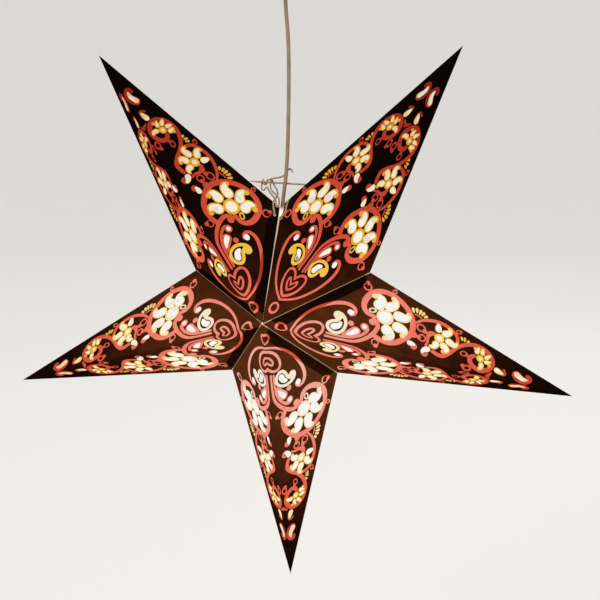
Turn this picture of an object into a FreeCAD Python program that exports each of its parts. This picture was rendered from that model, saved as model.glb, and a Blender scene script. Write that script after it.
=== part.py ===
"""A five-pointed paper star lantern on its lamp cord, with the holder, bulb and ceiling rose.

The lantern is five identical die-cut sheets. Each is folded into one hollow four-sided point,
and the points are glued to each other along valley seams that run from the front centre over
the outline's notches to the back centre. The seam at the top stays open to take the lamp, and
string and a toothpick tie it shut round the cord.

Frame: millimetres, +Z up, the viewer looks along +Y. The origin is the middle of the face that
the rose presses against the ceiling, and the lantern hangs below it.
"""

import FreeCAD, Part
import math
import os

Vector = FreeCAD.Vector

# --- the star -------------------------------------------------------------------------------
TIP_RADIUS = 320.0        # centre to the end of a point: 609 mm across, a 24 inch lantern
NOTCH_RADIUS = 99.0       # centre to a notch between two points
APEX_DEPTH = 105.0        # centre to the front or back apex
PAPER = 0.5               # thickness of the sheet
POINT_STEP = 72.0         # angle from one point to the next
HALF_STEP = POINT_STEP / 2
POINTS = {
    "point_right": -18.0,
    "point_upper_right": 54.0,
    "point_upper_left": 126.0,
    "point_left": 198.0,
    "point_bottom": 270.0,
}
OPEN_SEAM = 90.0          # the seam at this angle isn't glued

GLUE_TAB = 11.5           # width of the flap that tucks under the next point
TAB_START = 9.0           # the flap begins this far from the apex
TAB_END = 5.0             # and ends this far from the notch, mitred
SEAM_GAP = 0.5            # the open seam gapes by this much at the apex
NOTCH_GAP = 1.6           # and by this much at the notch
APEX_HOLE = 1.3           # radius of the pinhole where the five points meet

# --- the hanging gear, placed from the star's centre -------------------------------------------
STAR_CENTRE = Vector(-11.5, 0, -356)
CORD_DIAMETER = 4.0
STRING_DIAMETER = 1.8
SLOT_OFFSET = 2.6         # the notch gapes round the cord: this far to the right,
SLOT_HALF_WIDTH = 2.7     # this wide
SLOT_HALF_DEPTH = 10.5    # and this far to the front and the back
LACE_DOWN = 17.0          # string holes, along the seam from the notch
LACE_OUT = 4.5            # and away from its edge
LACE_HOLE = 1.5           # radius

BULB_AXIS = 1.2           # the lamp hangs this far right of the star's centre
GLOBE_RADIUS = 22.5
GLOBE_HEIGHT = -30.0      # height of the middle of the globe
BULB_CAP_RADIUS = 13.0
BULB_CAP_FOOT = 3.0       # the metal cap starts at this height
BULB_CONE = 4.0           # height of the cone over the cap
BULB_PIP_RADIUS = 4.5
BULB_TOP = 27.0

HOLDER_RADIUS = 20.0
HOLDER_RIM = 1.0          # heights of the rim, the shoulder and the top
HOLDER_SHOULDER = 40.0
HOLDER_TOP = 60.0
HOLDER_CHAMFER = 2.0
HOLDER_FLOOR = 5.0        # between the bulb and the wiring space
HOLDER_BODY_WALL = 4.0
HOLDER_CAP_WALL = 2.0
HOLDER_NECK_RADIUS = 7.0
HOLDER_NECK_HEIGHT = 6.0

STICK_ENDS = (Vector(-31.8, 3.1, 126.1), Vector(29.0, 3.1, 122.3))
STICK_RADIUS = 1.0
STICK_TAPER = 9.0         # length of its point

# --- the ceiling rose, placed from the origin ---------------------------------------------------
ROSE_BASE_RADIUS = 36.0
ROSE_BASE_HEIGHT = 8.0
ROSE_RADIUS = 40.0
ROSE_HEIGHT = 31.0
ROSE_WALL = 2.0
ROSE_SHOULDER = 14.0      # radius of the cover's round shoulder
ROSE_FIT = 0.2            # play between the cover and the plate
CEILING_GAP = 0.4         # the cover stays this far off the ceiling
ROSE_SCREW_SPACING = 50.0
ROSE_SCREW_RADIUS = 2.2
MAINS_HOLE_RADIUS = 5.0   # where the cable comes out of the ceiling
MAINS_HOLE_BACK = 14.0
TERMINAL_SIZE = (18.0, 11.0, 12.0)
GRIP_RADIUS = 5.0
GRIP_FLANGE = 7.5
GRIP_STEM = 6.0           # height inside the cover
GRIP_DROP = 6.0           # depth below it


def save(name, shape):
    """Write one piece as parts/name.step."""
    shape.exportStep("parts/" + name + ".step")
    print(name, "solids", len(shape.Solids), "valid", shape.isValid(), "volume", round(shape.Volume, 1))


def from_centre(shape):
    """Move a shape built round the star's centre to where the lantern hangs."""
    moved = shape.copy()
    moved.translate(STAR_CENTRE)
    return moved


# --- flat geometry of a point ---------------------------------------------------------------
# In a point's own axes X runs from the centre to the tip, Y is the depth (front is -Y) and Z
# lies across, towards the next point counter-clockwise.

NOTCH_ALONG = NOTCH_RADIUS * math.cos(math.radians(HALF_STEP))
NOTCH_ACROSS = NOTCH_RADIUS * math.sin(math.radians(HALF_STEP))
HALF_WIDTH = NOTCH_ACROSS * TIP_RADIUS / (TIP_RADIUS - NOTCH_ALONG)  # of the pyramid, at the centre

APEX = Vector(0, -APEX_DEPTH, 0)
TIP = Vector(TIP_RADIUS, 0, 0)
NOTCH = Vector(NOTCH_ALONG, 0, NOTCH_ACROSS)


def unit(vector):
    """The same direction at length one."""
    return Vector(vector).normalize()


RIDGE_DIRECTION = unit(TIP - APEX)
FACET_NORMAL = unit((NOTCH - APEX).cross(TIP - APEX))
if FACET_NORMAL.x < 0:
    FACET_NORMAL = -FACET_NORMAL
FACET_ACROSS = unit((NOTCH - APEX) - RIDGE_DIRECTION * (NOTCH - APEX).dot(RIDGE_DIRECTION))
LAYER_SHIFT = PAPER / FACET_NORMAL.x     # moving the pyramid back by this insets it one sheet


def turned(shape, angle):
    """Turn a shape from a point's own axes to the point at this angle."""
    copy = shape.copy()
    copy.rotate(Vector(0, 0, 0), Vector(0, -1, 0), angle)
    return copy


def solid_of(corners, faces):
    """A closed solid with flat faces, from its corners and the loops round them."""
    made = []
    for loop in faces:
        ring = [corners[i] for i in loop]
        made.append(Part.Face(Part.makePolygon(ring + ring[:1])))
    solid = Part.Solid(Part.Shell(made))
    if solid.Volume < 0:
        solid.reverse()
    return solid


def pyramid(layers, angle=0.0, overrun=3.0):
    """The four planes of one point, closed off behind the centre and inset by whole sheets."""
    tip = TIP_RADIUS - layers * LAYER_SHIFT
    grow = (tip + overrun) / TIP_RADIUS
    depth = APEX_DEPTH * grow
    across = HALF_WIDTH * grow
    corners = [
        Vector(tip, 0, 0),
        Vector(-overrun, -depth, 0),
        Vector(-overrun, 0, across),
        Vector(-overrun, depth, 0),
        Vector(-overrun, 0, -across),
    ]
    faces = [(0, 1, 2), (0, 2, 3), (0, 3, 4), (0, 4, 1), (1, 2, 3, 4)]
    return turned(solid_of(corners, faces), angle)


def on_facet(along, across, side=1, front=True, lift=0.0):
    """A spot on a facet: mm along the ridge from the apex, mm away from it, and outwards."""
    spot = APEX + RIDGE_DIRECTION * along + FACET_ACROSS * across + FACET_NORMAL * lift
    return Vector(spot.x, spot.y if front else -spot.y, spot.z * side)


def through_facet(outline, side=1, front=True):
    """A prism through one facet, from an outline given in that facet's own flat measure."""
    reach = 4 * PAPER
    low = [on_facet(a, b, side, front, -reach) for a, b in outline]
    wire = Part.makePolygon(low + low[:1])
    way = on_facet(0, 0, side, front, reach) - on_facet(0, 0, side, front, -reach)
    return Part.Face(wire).extrude(way)


# --- the die-cut windows ----------------------------------------------------------------------
# Positions are in the facet's flat measure. Every facet carries the same set, mirrored about
# the folded ridge: two blossoms, a paisley drop, hooked drops, and a drop near the tip.

BLOSSOMS = [
    {
        "heart": (126.5, 42.5),
        "heart_radius": 6.2,
        "petals": [  # belly, tip, belly radius
            ((128.3, 26.6), (130.6, 17.6), 4.8),
            ((140.6, 34.1), (147.8, 28.4), 4.6),
            ((142.2, 47.9), (153.6, 50.2), 4.8),
            ((132.0, 56.4), (139.8, 64.6), 4.1),
            ((120.2, 55.4), (119.2, 67.2), 4.8),
        ],
    },
    {
        "heart": (186.8, 32.6),
        "heart_radius": 3.0,
        "petals": [
            ((183.4, 25.2), (177.6, 20.9), 2.4),
            ((191.4, 24.0), (194.2, 18.4), 3.0),
            ((197.8, 30.2), (205.8, 30.2), 3.0),
            ((193.4, 39.4), (200.0, 45.4), 3.0),
            ((185.9, 43.4), (186.1, 50.4), 2.9),
        ],
    },
]
DROPS = [
    ((73.0, 15.2), (81.2, 24.2), 4.2),       # in the paisley
    ((96.4, 17.6), (87.4, 10.6), 2.9),       # in the fan of stems
    ((89.8, 38.2), (93.6, 35.0), 2.9),       # in the hook of the heart line
    ((172.8, 15.6), (167.8, 12.6), 2.9),     # two by the ridge between the blossoms
    ((154.6, 18.2), (160.4, 17.0), 2.6),
    ((273.0, 10.0), (286.0, 6.4), 3.2),      # near the tip
]
ROUND_SIDES = 8
BELLY_SIDES = 5


def round_outline(centre, radius):
    """A round window, cut as an octagon."""
    turn = 2 * math.pi / ROUND_SIDES
    return [
        (centre[0] + radius * math.cos(i * turn), centre[1] + radius * math.sin(i * turn))
        for i in range(ROUND_SIDES)
    ]


def drop_outline(belly, tip, radius):
    """A drop: short chords round the belly, and straight flanks that meet at the tip."""
    ahead = math.atan2(tip[1] - belly[1], tip[0] - belly[0])
    length = math.dist(belly, tip)
    leave = math.acos(radius / length)
    sweep = 2 * (math.pi - leave) / BELLY_SIDES
    outline = [tip]
    for i in range(BELLY_SIDES + 1):
        angle = ahead + leave + i * sweep
        outline.append((belly[0] + radius * math.cos(angle), belly[1] + radius * math.sin(angle)))
    return outline


def window_outlines():
    """Every window of one facet."""
    outlines = [drop_outline(*drop) for drop in DROPS]
    for blossom in BLOSSOMS:
        outlines.append(round_outline(blossom["heart"], blossom["heart_radius"]))
        outlines += [drop_outline(*petal) for petal in blossom["petals"]]
    return outlines


def windows():
    """The cutters for all four facets of one point."""
    cutters = []
    for outline in window_outlines():
        for side in (1, -1):
            for front in (True, False):
                cutters.append(through_facet(outline, side, front))
    return cutters


# --- glue tabs and edges --------------------------------------------------------------------------

SEAM_LENGTH = (NOTCH - APEX).Length
NOTCH_FLAT = (
    (NOTCH - APEX).dot(RIDGE_DIRECTION),
    (NOTCH - APEX).dot(FACET_ACROSS),
)
SEAM_ANGLE = math.atan2(NOTCH_FLAT[1], NOTCH_FLAT[0])


def from_seam(down, out):
    """A spot in the facet's flat measure: mm along the seam from the apex, mm in from it."""
    along = down * math.cos(SEAM_ANGLE) + out * math.sin(SEAM_ANGLE)
    across = down * math.sin(SEAM_ANGLE) - out * math.cos(SEAM_ANGLE)
    return (along, across)


def tab_outline():
    """The flap: straight along the seam, mitred at both ends."""
    mitre = GLUE_TAB * 0.6
    return [
        from_seam(TAB_START, -3.0),
        from_seam(TAB_START, 0.0),
        from_seam(TAB_START + mitre, GLUE_TAB),
        from_seam(SEAM_LENGTH - TAB_END - mitre, GLUE_TAB),
        from_seam(SEAM_LENGTH - TAB_END, 0.0),
        from_seam(SEAM_LENGTH - TAB_END, -3.0),
    ]


def tab_zone(side):
    """Where a flap lies, on the front and the back facet beside one seam."""
    front = through_facet(tab_outline(), side, True)
    back = through_facet(tab_outline(), side, False)
    return front.fuse(back)


def glued_flap(angle):
    """The flap that tucks one sheet deep under the clockwise neighbour of the point at angle."""
    neighbour = angle - POINT_STEP
    layer = pyramid(1, neighbour).cut(pyramid(2, neighbour))
    return layer.common(turned(tab_zone(1), neighbour)).cut(pyramid(1, angle))


def turned_back_flap(angle):
    """At the open seam the flap is folded flat against the inside of its own point."""
    layer = pyramid(1, angle).cut(pyramid(2, angle))
    return layer.common(turned(tab_zone(-1), angle))


def seam_slab(angle, towards):
    """Everything past the open seam's edge, on the side that towards names."""
    size = 2 * TIP_RADIUS
    spread = math.degrees(math.atan((NOTCH_GAP - SEAM_GAP) / 2 / NOTCH_RADIUS))
    low = -SEAM_GAP / 2 if towards > 0 else SEAM_GAP / 2 - size
    slab = Part.makeBox(size, size, size, Vector(-size / 2, -size / 2, low))
    slab.rotate(Vector(0, 0, -towards * SEAM_GAP / 2), Vector(0, 1, 0), towards * spread)
    return turned(slab, angle)


def cord_slot():
    """The almond-shaped gap at the top notch, pushed open by the cord."""
    ring = Part.Ellipse(Vector(0, 0, 0), SLOT_HALF_DEPTH, SLOT_HALF_WIDTH).toShape()
    slot = Part.Face(Part.Wire(ring)).extrude(Vector(0, 0, 40))
    slot.rotate(Vector(0, 0, 0), Vector(0, 0, 1), 90)
    slot.translate(Vector(SLOT_OFFSET, 0, NOTCH_RADIUS - 30))
    return slot


def lace_hole(side, front):
    """A punched string hole beside the seam of a point, in that point's own axes."""
    spot = from_seam(SEAM_LENGTH - LACE_DOWN, LACE_OUT)
    start = on_facet(*spot, side, front, -4 * PAPER)
    way = on_facet(*spot, side, front, 4 * PAPER) - start
    return Part.makeCylinder(LACE_HOLE, way.Length, start, way)


def paper_point(angle):
    """One folded sheet: four facets, their windows, and the flaps along its clockwise seam."""
    sheet = pyramid(0, angle, overrun=0.0).cut(pyramid(1, angle))
    opens_clockwise = math.isclose(angle - HALF_STEP, OPEN_SEAM)
    opens_counter = math.isclose(angle + HALF_STEP, OPEN_SEAM)
    if opens_clockwise:
        sheet = sheet.fuse(turned_back_flap(angle)).cut(seam_slab(OPEN_SEAM, -1))
    else:
        sheet = sheet.cut(pyramid(2, angle - POINT_STEP)).fuse(glued_flap(angle))
    if opens_counter:
        sheet = sheet.cut(seam_slab(OPEN_SEAM, 1))
    else:
        sheet = sheet.cut(pyramid(0, angle + POINT_STEP))
    cutters = [turned(window, angle) for window in windows()]
    needle = Part.makeCylinder(APEX_HOLE, 3 * APEX_DEPTH, Vector(0, -1.5 * APEX_DEPTH, 0), Vector(0, 1, 0))
    cutters.append(needle)
    if opens_clockwise or opens_counter:
        side = -1 if opens_clockwise else 1
        cutters.append(cord_slot())
        cutters += [turned(lace_hole(side, front), angle) for front in (True, False)]
    sheet = sheet.cut(cutters)
    return sheet.removeSplitter()


# --- lamp: bulb, holder and cord --------------------------------------------------------------------


def revolved(edges, axis_x):
    """Turn a closed profile in the XZ plane about the vertical line at axis_x."""
    face = Part.Face(Part.Wire(edges))
    return face.revolve(Vector(axis_x, 0, 0), Vector(0, 0, 1), 360)


def lines(points):
    """Straight edges through points in order."""
    return [Part.makeLine(a, b) for a, b in zip(points, points[1:])]


def ring_profile(axis_x, corners):
    """A closed profile of straight edges from (radius, height) corners."""
    points = [Vector(axis_x + radius, 0, height) for radius, height in corners]
    return lines(points + points[:1])


def bulb():
    """A sealed golf-ball bulb: globe, short neck, and the metal cap that screws in."""
    def at(radius, height):
        return Vector(BULB_AXIS + radius, 0, height)

    blend = math.radians(42)     # the globe gives way to the neck this far from its top
    leave = at(GLOBE_RADIUS * math.sin(blend), GLOBE_HEIGHT + GLOBE_RADIUS * math.cos(blend))
    neck = at(BULB_CAP_RADIUS, BULB_CAP_FOOT)
    waist = (leave + neck) * 0.5 + Vector(-0.8, 0, -0.6)
    edges = [
        Part.Arc(at(0, GLOBE_HEIGHT - GLOBE_RADIUS), at(GLOBE_RADIUS, GLOBE_HEIGHT), leave).toShape(),
        Part.Arc(leave, waist, neck).toShape(),
    ]
    edges += lines([
        neck,
        at(BULB_CAP_RADIUS, BULB_TOP - BULB_CONE),
        at(BULB_PIP_RADIUS, BULB_TOP - 1),
        at(BULB_PIP_RADIUS, BULB_TOP),
        at(0, BULB_TOP),
        at(0, GLOBE_HEIGHT - GLOBE_RADIUS),
    ])
    return revolved(edges, BULB_AXIS)


def holder_body():
    """The lower moulding: a skirt round the bulb's cap, a floor, and the wiring space over it."""
    socket = BULB_CAP_RADIUS + 0.2
    space = HOLDER_RADIUS - HOLDER_BODY_WALL
    corners = [
        (HOLDER_RADIUS - 1.5, HOLDER_RIM),
        (HOLDER_RADIUS, HOLDER_RIM + HOLDER_CHAMFER),
        (HOLDER_RADIUS, HOLDER_SHOULDER - 2 * HOLDER_CHAMFER),
        (HOLDER_RADIUS - HOLDER_CHAMFER, HOLDER_SHOULDER),
        (space, HOLDER_SHOULDER),
        (space, BULB_TOP + HOLDER_FLOOR),
        (0, BULB_TOP + HOLDER_FLOOR),
        (0, BULB_TOP),
        (BULB_PIP_RADIUS + 0.5, BULB_TOP),
        (socket, BULB_TOP - BULB_CONE + 1),
        (socket, HOLDER_RIM + 1),
    ]
    return revolved(ring_profile(BULB_AXIS, corners), BULB_AXIS)


def holder_cap():
    """The domed top moulding, with the hole that the cord comes in by."""
    def at(radius, height):
        return Vector(BULB_AXIS + radius, 0, height)

    cord_hole = CORD_DIAMETER / 2 + 0.1
    wide = HOLDER_RADIUS - HOLDER_CHAMFER
    neck = HOLDER_NECK_RADIUS
    wall = HOLDER_CAP_WALL
    foot = HOLDER_SHOULDER
    step = foot + wall + 2
    brow = HOLDER_TOP - HOLDER_NECK_HEIGHT
    outside = Part.Arc(at(wide, step), at(wide - 4, foot + 10), at(neck, brow))
    inside = Part.Arc(at(neck - wall, brow - wall), at(wide - 4 - wall, foot + 9), at(wide - wall, step))
    edges = lines([at(wide - wall, foot), at(wide, foot), at(wide, step)])
    edges.append(outside.toShape())
    edges += lines([
        at(neck, brow),
        at(neck, HOLDER_TOP),
        at(cord_hole, HOLDER_TOP),
        at(cord_hole, brow - wall),
        at(neck - wall, brow - wall),
    ])
    edges.append(inside.toShape())
    edges += lines([at(wide - wall, step), at(wide - wall, foot)])
    return revolved(edges, BULB_AXIS)


# --- cords ---------------------------------------------------------------------------------------

# Each route is a list of turning points; the tube is straight runs joined by tangent arcs.
LAMP_CORD_ROUTE = [
    Vector(11.5, 0, 336),
    Vector(11.5, 0, 304),
    Vector(14.6, 0, 262),
    Vector(9.9, 0, 146),
    Vector(2.9, 0, 103.5),
    Vector(1.2, 0, 82),
    Vector(1.2, 0, HOLDER_SHOULDER),
]

TIE_STRING_ROUTE = [
    Vector(13.6, 3.0, 133.2),      # loose end, right of the lamp cord
    Vector(12.0, 3.4, 137.4),
    Vector(8.4, 4.0, 136.8),       # behind the lamp cord
    Vector(3.2, 3.4, 131.0),
    Vector(-5.5, 1.8, 129.9),
    Vector(-12.3, 0.8, 127.6),     # one and three quarter turns round the toothpick
    Vector(-13.4, 5.4, 127.4),
    Vector(-14.6, 5.4, 122.6),
    Vector(-15.8, 0.8, 122.6),
    Vector(-16.9, 0.8, 127.8),
    Vector(-18.1, 5.4, 127.8),
    Vector(-19.4, 5.2, 122.4),
    Vector(-18.6, 0.6, 119.6),     # a slack loop, then down to the notch
    Vector(-14.0, -0.8, 118.0),
    Vector(-10.0, -0.8, 113.2),
    Vector(-3.6, -1.6, 109.6),
    Vector(-2.6, -2.6, 102.6),
    Vector(0.4, -3.6, 102.8),      # back up
    Vector(1.2, -2.4, 108.6),
    Vector(0.5, -0.8, 112.4),
    Vector(-3.4, 0.2, 117.8),
    Vector(-5.4, 0.5, 122.0),
    Vector(-5.8, 0.6, 127.0),      # over the toothpick
    Vector(-7.0, 5.5, 126.8),
    Vector(-8.2, 5.4, 122.0),
    Vector(-6.4, 2.6, 117.6),      # and down behind
    Vector(-2.6, 1.8, 111.6),
    Vector(-5.2, 0.6, 107.8),
    Vector(-6.2, -4.4, 102.6),
    Vector(-5.4, -11.4, 95.6),
    Vector(-2.46, -15.52, 90.67),  # in by the left hole
    Vector(-5.04, -12.66, 87.64),
    Vector(0.0, -10.5, 85.3),      # under the seam
    Vector(5.04, -12.66, 87.64),
    Vector(2.46, -15.52, 90.67),   # out by the right hole
    Vector(4.6, -14.9, 93.2),
    Vector(6.2, -11.6, 96.0),
    Vector(7.0, -8.0, 99.4),
    Vector(8.2, -4.4, 103.6),
    Vector(10.5, -3.0, 107.4),     # the other loose end
]


def bend_radius(before, here, after):
    """The largest arc that two runs leave room for: 0.45 of the shorter over tan(half the turn)."""
    shorter = min((here - before).Length, (after - here).Length)
    turn = (here - before).getAngle(after - here)
    return 0.45 * shorter / math.tan(turn / 2)


def cord_tube(name, route, diameter):
    """A round cord along a route."""
    edges = []
    last = route[0]
    used = []
    for i in range(1, len(route) - 1):
        before, here, after = route[i - 1:i + 2]
        inward = unit(here - before)
        onward = unit(after - here)
        turn = inward.getAngle(onward)
        radius = bend_radius(before, here, after)
        reach = radius * math.tan(turn / 2)
        start = here - inward * reach
        end = here + onward * reach
        middle = here + unit(onward - inward) * (radius / math.cos(turn / 2) - radius)
        edges.append(Part.LineSegment(last, start).toShape())
        edges.append(Part.Arc(start, middle, end).toShape())
        last = end
        used.append(round(radius, 1))
    edges.append(Part.LineSegment(last, route[-1]).toShape())
    path = Part.Wire(edges)
    ring = Part.makeCircle(diameter / 2, route[0], route[1] - route[0])
    tube = path.makePipeShell([Part.Wire(ring)], True, False)
    expected = math.pi * diameter ** 2 / 4 * path.Length
    print(name, "length", round(path.Length, 1), "volume ratio", round(tube.Volume / expected, 4))
    print("bend radii", used)
    return tube


# --- ceiling rose ------------------------------------------------------------------------------------


def rose_base():
    """The plate that is screwed to the ceiling: a disc with two countersunk holes and a cable hole."""
    plate = Part.makeCylinder(ROSE_BASE_RADIUS, ROSE_BASE_HEIGHT, Vector(0, 0, -ROSE_BASE_HEIGHT))
    mains = Vector(0, MAINS_HOLE_BACK, -ROSE_BASE_HEIGHT)
    holes = [Part.makeCylinder(MAINS_HOLE_RADIUS, ROSE_BASE_HEIGHT, mains)]
    for side in (1, -1):
        foot = Vector(side * ROSE_SCREW_SPACING / 2, 0, -ROSE_BASE_HEIGHT)
        holes.append(Part.makeCylinder(ROSE_SCREW_RADIUS, ROSE_BASE_HEIGHT, foot))
        holes.append(Part.makeCone(2 * ROSE_SCREW_RADIUS, ROSE_SCREW_RADIUS, ROSE_SCREW_RADIUS, foot))
    return plate.cut(holes)


def rose_terminal():
    """The terminal block under the plate, where the cord's cores end."""
    wide, deep, high = TERMINAL_SIZE
    block = Part.makeBox(wide, deep, high, Vector(-wide / 2, -deep / 2, -ROSE_BASE_HEIGHT - high))
    return block.makeFillet(1.0, [edge for edge in block.Edges if abs(edge.tangentAt(0).z) > 0.9])


def rose_cover():
    """The cup that hides the plate: it seats on the plate's rim and has the grip in its middle."""
    inner = ROSE_BASE_RADIUS + ROSE_FIT
    ledge = ROSE_BASE_RADIUS - ROSE_WALL
    shoulder = ROSE_SHOULDER
    hole = GRIP_RADIUS + 0.05

    def at(radius, height):
        return Vector(radius, 0, height)

    def bend(radius, start, end):
        """A quarter round between a wall at one radius and the flat bottom."""
        angle = math.radians(45)
        corner_x = start.x - radius
        middle = at(corner_x + radius * math.cos(angle), start.z - radius * math.sin(angle))
        return Part.Arc(start, middle, end).toShape()

    low = -ROSE_HEIGHT
    outer_start = at(ROSE_RADIUS, low + shoulder)
    outer_end = at(ROSE_RADIUS - shoulder, low)
    inner_radius = shoulder - ROSE_WALL
    inner_start = at(ledge, low + ROSE_WALL + inner_radius)
    inner_end = at(ledge - inner_radius, low + ROSE_WALL)
    edges = lines([
        inner_start,
        at(ledge, -ROSE_BASE_HEIGHT),
        at(inner, -ROSE_BASE_HEIGHT),
        at(inner, -CEILING_GAP),
        at(ROSE_RADIUS, -CEILING_GAP),
        outer_start,
    ])
    edges.append(bend(shoulder, outer_start, outer_end))
    edges += lines([outer_end, at(hole, low), at(hole, low + ROSE_WALL), inner_end])
    edges.append(bend(inner_radius, inner_start, inner_end))
    return revolved(edges, 0)


def rose_grip():
    """The nipple through the cover's floor that holds the cord: a flange below and a stem inside."""
    bore = CORD_DIAMETER / 2 + 0.05
    low = -ROSE_HEIGHT
    corners = [
        (bore, low - GRIP_DROP),
        (GRIP_FLANGE - 2, low - GRIP_DROP),
        (GRIP_FLANGE, low - GRIP_DROP / 2),
        (GRIP_FLANGE, low),
        (GRIP_RADIUS, low),
        (GRIP_RADIUS, low + GRIP_STEM),
        (bore, low + GRIP_STEM),
    ]
    return revolved(ring_profile(0, corners), 0)


# --- toothpick ---------------------------------------------------------------------------------------


def toothpick():
    """A round wooden toothpick, pointed at the left end and snapped off at the right."""
    left, right = STICK_ENDS
    along = right - left
    point = Part.makeCone(0.3, STICK_RADIUS, STICK_TAPER, left, along)
    shoulder = left + unit(along) * STICK_TAPER
    shaft = Part.makeCylinder(STICK_RADIUS, along.Length - STICK_TAPER, shoulder, along)
    return point.fuse(shaft).removeSplitter()


os.makedirs("parts", exist_ok=True)
for name, angle in POINTS.items():
    save(name, from_centre(paper_point(angle)))
save("bulb", from_centre(bulb()))
save("holder_body", from_centre(holder_body()))
save("holder_cap", from_centre(holder_cap()))
save("lamp_cord", from_centre(cord_tube("lamp_cord", LAMP_CORD_ROUTE, CORD_DIAMETER)))
save("tie_string", from_centre(cord_tube("tie_string", TIE_STRING_ROUTE, STRING_DIAMETER)))
save("toothpick", from_centre(toothpick()))
save("rose_base", rose_base())
save("rose_terminal", rose_terminal())
save("rose_cover", rose_cover())
save("rose_grip", rose_grip())
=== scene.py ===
"""The looks of a paper star lantern that hangs lit from its lamp cord.

Five printed, die-cut sheets are folded into hollow points and glued into a star. An opal bulb
glows inside, so the red and yellow print shows like stained glass, the brown ground stays dark,
and the die-cut windows show the white, brightly lit inside of the paper. A twine tie and a
toothpick close the top seam round the lamp cord, which drops from a small ceiling rose.

Sizes in the classes are in millimetres. Meshes are written in metres.
"""

import logging
import math
from dataclasses import dataclass
from enum import Enum, IntEnum
from typing import Callable, Optional, Sequence

import bpy
import numpy as np
from mathutils import Matrix, Vector
from mathutils.geometry import delaunay_2d_cdt

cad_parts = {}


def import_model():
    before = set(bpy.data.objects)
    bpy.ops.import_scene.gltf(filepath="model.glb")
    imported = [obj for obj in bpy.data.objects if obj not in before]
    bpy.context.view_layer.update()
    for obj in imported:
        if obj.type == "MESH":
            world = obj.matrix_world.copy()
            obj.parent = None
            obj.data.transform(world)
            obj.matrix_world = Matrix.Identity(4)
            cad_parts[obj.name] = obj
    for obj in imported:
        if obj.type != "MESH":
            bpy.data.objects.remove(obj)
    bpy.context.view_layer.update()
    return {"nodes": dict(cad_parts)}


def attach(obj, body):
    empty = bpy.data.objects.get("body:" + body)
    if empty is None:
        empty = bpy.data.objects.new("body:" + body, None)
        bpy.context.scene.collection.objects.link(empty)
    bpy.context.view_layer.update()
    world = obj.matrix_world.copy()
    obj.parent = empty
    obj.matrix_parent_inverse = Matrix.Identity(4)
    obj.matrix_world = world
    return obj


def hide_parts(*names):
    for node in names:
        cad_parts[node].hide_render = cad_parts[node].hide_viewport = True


LOG = logging.getLogger("lantern")
Array = np.ndarray
Places = Sequence[Sequence[float]]
Piece = bpy.types.Object
Tree = bpy.types.NodeTree
Socket = bpy.types.NodeSocket
Stops = Sequence[tuple[float, str]]      # positions from 0 to 1, and sRGB hex colours
MM = 0.001                    # metres in a millimetre
NEAR = 1e-4                   # mm: places this close count as one
STAR_CENTRE = np.array([-11.5, 0.0, -356.0])
LAMP = np.array([-10.3, 0.0, -386.0])    # the middle of the bulb's globe


# --- small tools ------------------------------------------------------------------------------


def linear(hex_colour: str) -> tuple[float, float, float, float]:
    """Turn an sRGB hex colour into linear light, by the sRGB curve.

    Args:
        hex_colour: Six hex digits after a hash sign.

    Returns:
        Red, green, blue and an alpha of one.
    """
    srgb = np.array([int(hex_colour[i:i + 2], 16) for i in (1, 3, 5)]) / 255
    light = np.where(srgb <= 0.04045, srgb / 12.92, ((srgb + 0.055) / 1.055) ** 2.4)
    return (*(float(x) for x in light), 1.0)


def unit(vector: Sequence[float]) -> Array:
    """The same direction at length one."""
    vector = np.asarray(vector, float)
    return vector / np.linalg.norm(vector)


def distances(line: Array) -> Array:
    """How far along a line each of its places is."""
    return np.concatenate([[0], np.cumsum(np.linalg.norm(np.diff(line, axis=0), axis=1))])


def sample(line: Array, at: Array) -> Array:
    """The places at these distances along a line."""
    along = distances(line)
    return np.stack([np.interp(at, along, column) for column in line.T], 1)


def sides(line: Array) -> tuple[Array, Array]:
    """The direction of a flat line at each of its places, and the direction to its left.

    Args:
        line: Flat places, two numbers each.

    Returns:
        Two rows of unit vectors.
    """
    step = np.gradient(line, axis=0)
    step /= np.linalg.norm(step, axis=1)[:, None]
    return step, np.stack([-step[:, 1], step[:, 0]], 1)


def smooth_curve(points: Places, spacing: float, closed: bool = False) -> Array:
    """A Catmull-Rom curve through its points, resampled at an even spacing.

    Between two points the curve is the cubic whose slope at each end is half the step from the
    point before to the point after.

    Args:
        points: The points, two or three numbers each.
        spacing: Distance between samples.
        closed: Whether the curve returns to its first point.

    Returns:
        The samples, one row each. A closed curve doesn't repeat its first sample.
    """
    p = np.asarray(points, float)
    if closed:
        p = np.vstack([p[-1:], p, p[:2]])
    else:
        p = np.vstack([2 * p[0] - p[1], p, 2 * p[-1] - p[-2]])
    a, b, c, d = (p[i:len(p) - 3 + i, None] for i in range(4))
    steps = 24
    t = np.linspace(0, 1, steps, endpoint=False)[None, :, None]
    fine = 0.5 * (2 * b + (c - a) * t + (2 * a - 5 * b + 4 * c - d) * t ** 2
                  + (3 * b - a - 3 * c + d) * t ** 3)
    fine = np.vstack([fine.reshape(-1, p.shape[1]), p[-2:-1]])
    length = distances(fine)[-1]
    count = max(4, int(math.ceil(length / spacing)) + 1)
    curve = sample(fine, np.linspace(0, length, count))
    return curve[:-1] if closed else curve


def new_object(name: str, data: bpy.types.ID) -> Piece:
    """Put an object with this data in the scene, at the origin.

    Args:
        name: The object's name.
        data: Its mesh, curve, light or camera.

    Returns:
        The object.
    """
    made = bpy.data.objects.new(name, data)
    bpy.context.scene.collection.objects.link(made)
    return made


# --- drawing in the flat ----------------------------------------------------------------------
# A facet's flat measure is (along, across): mm along the ridge from the star's middle, and mm
# away from the ridge. All the ornament is drawn once in it, for half a point.


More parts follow.
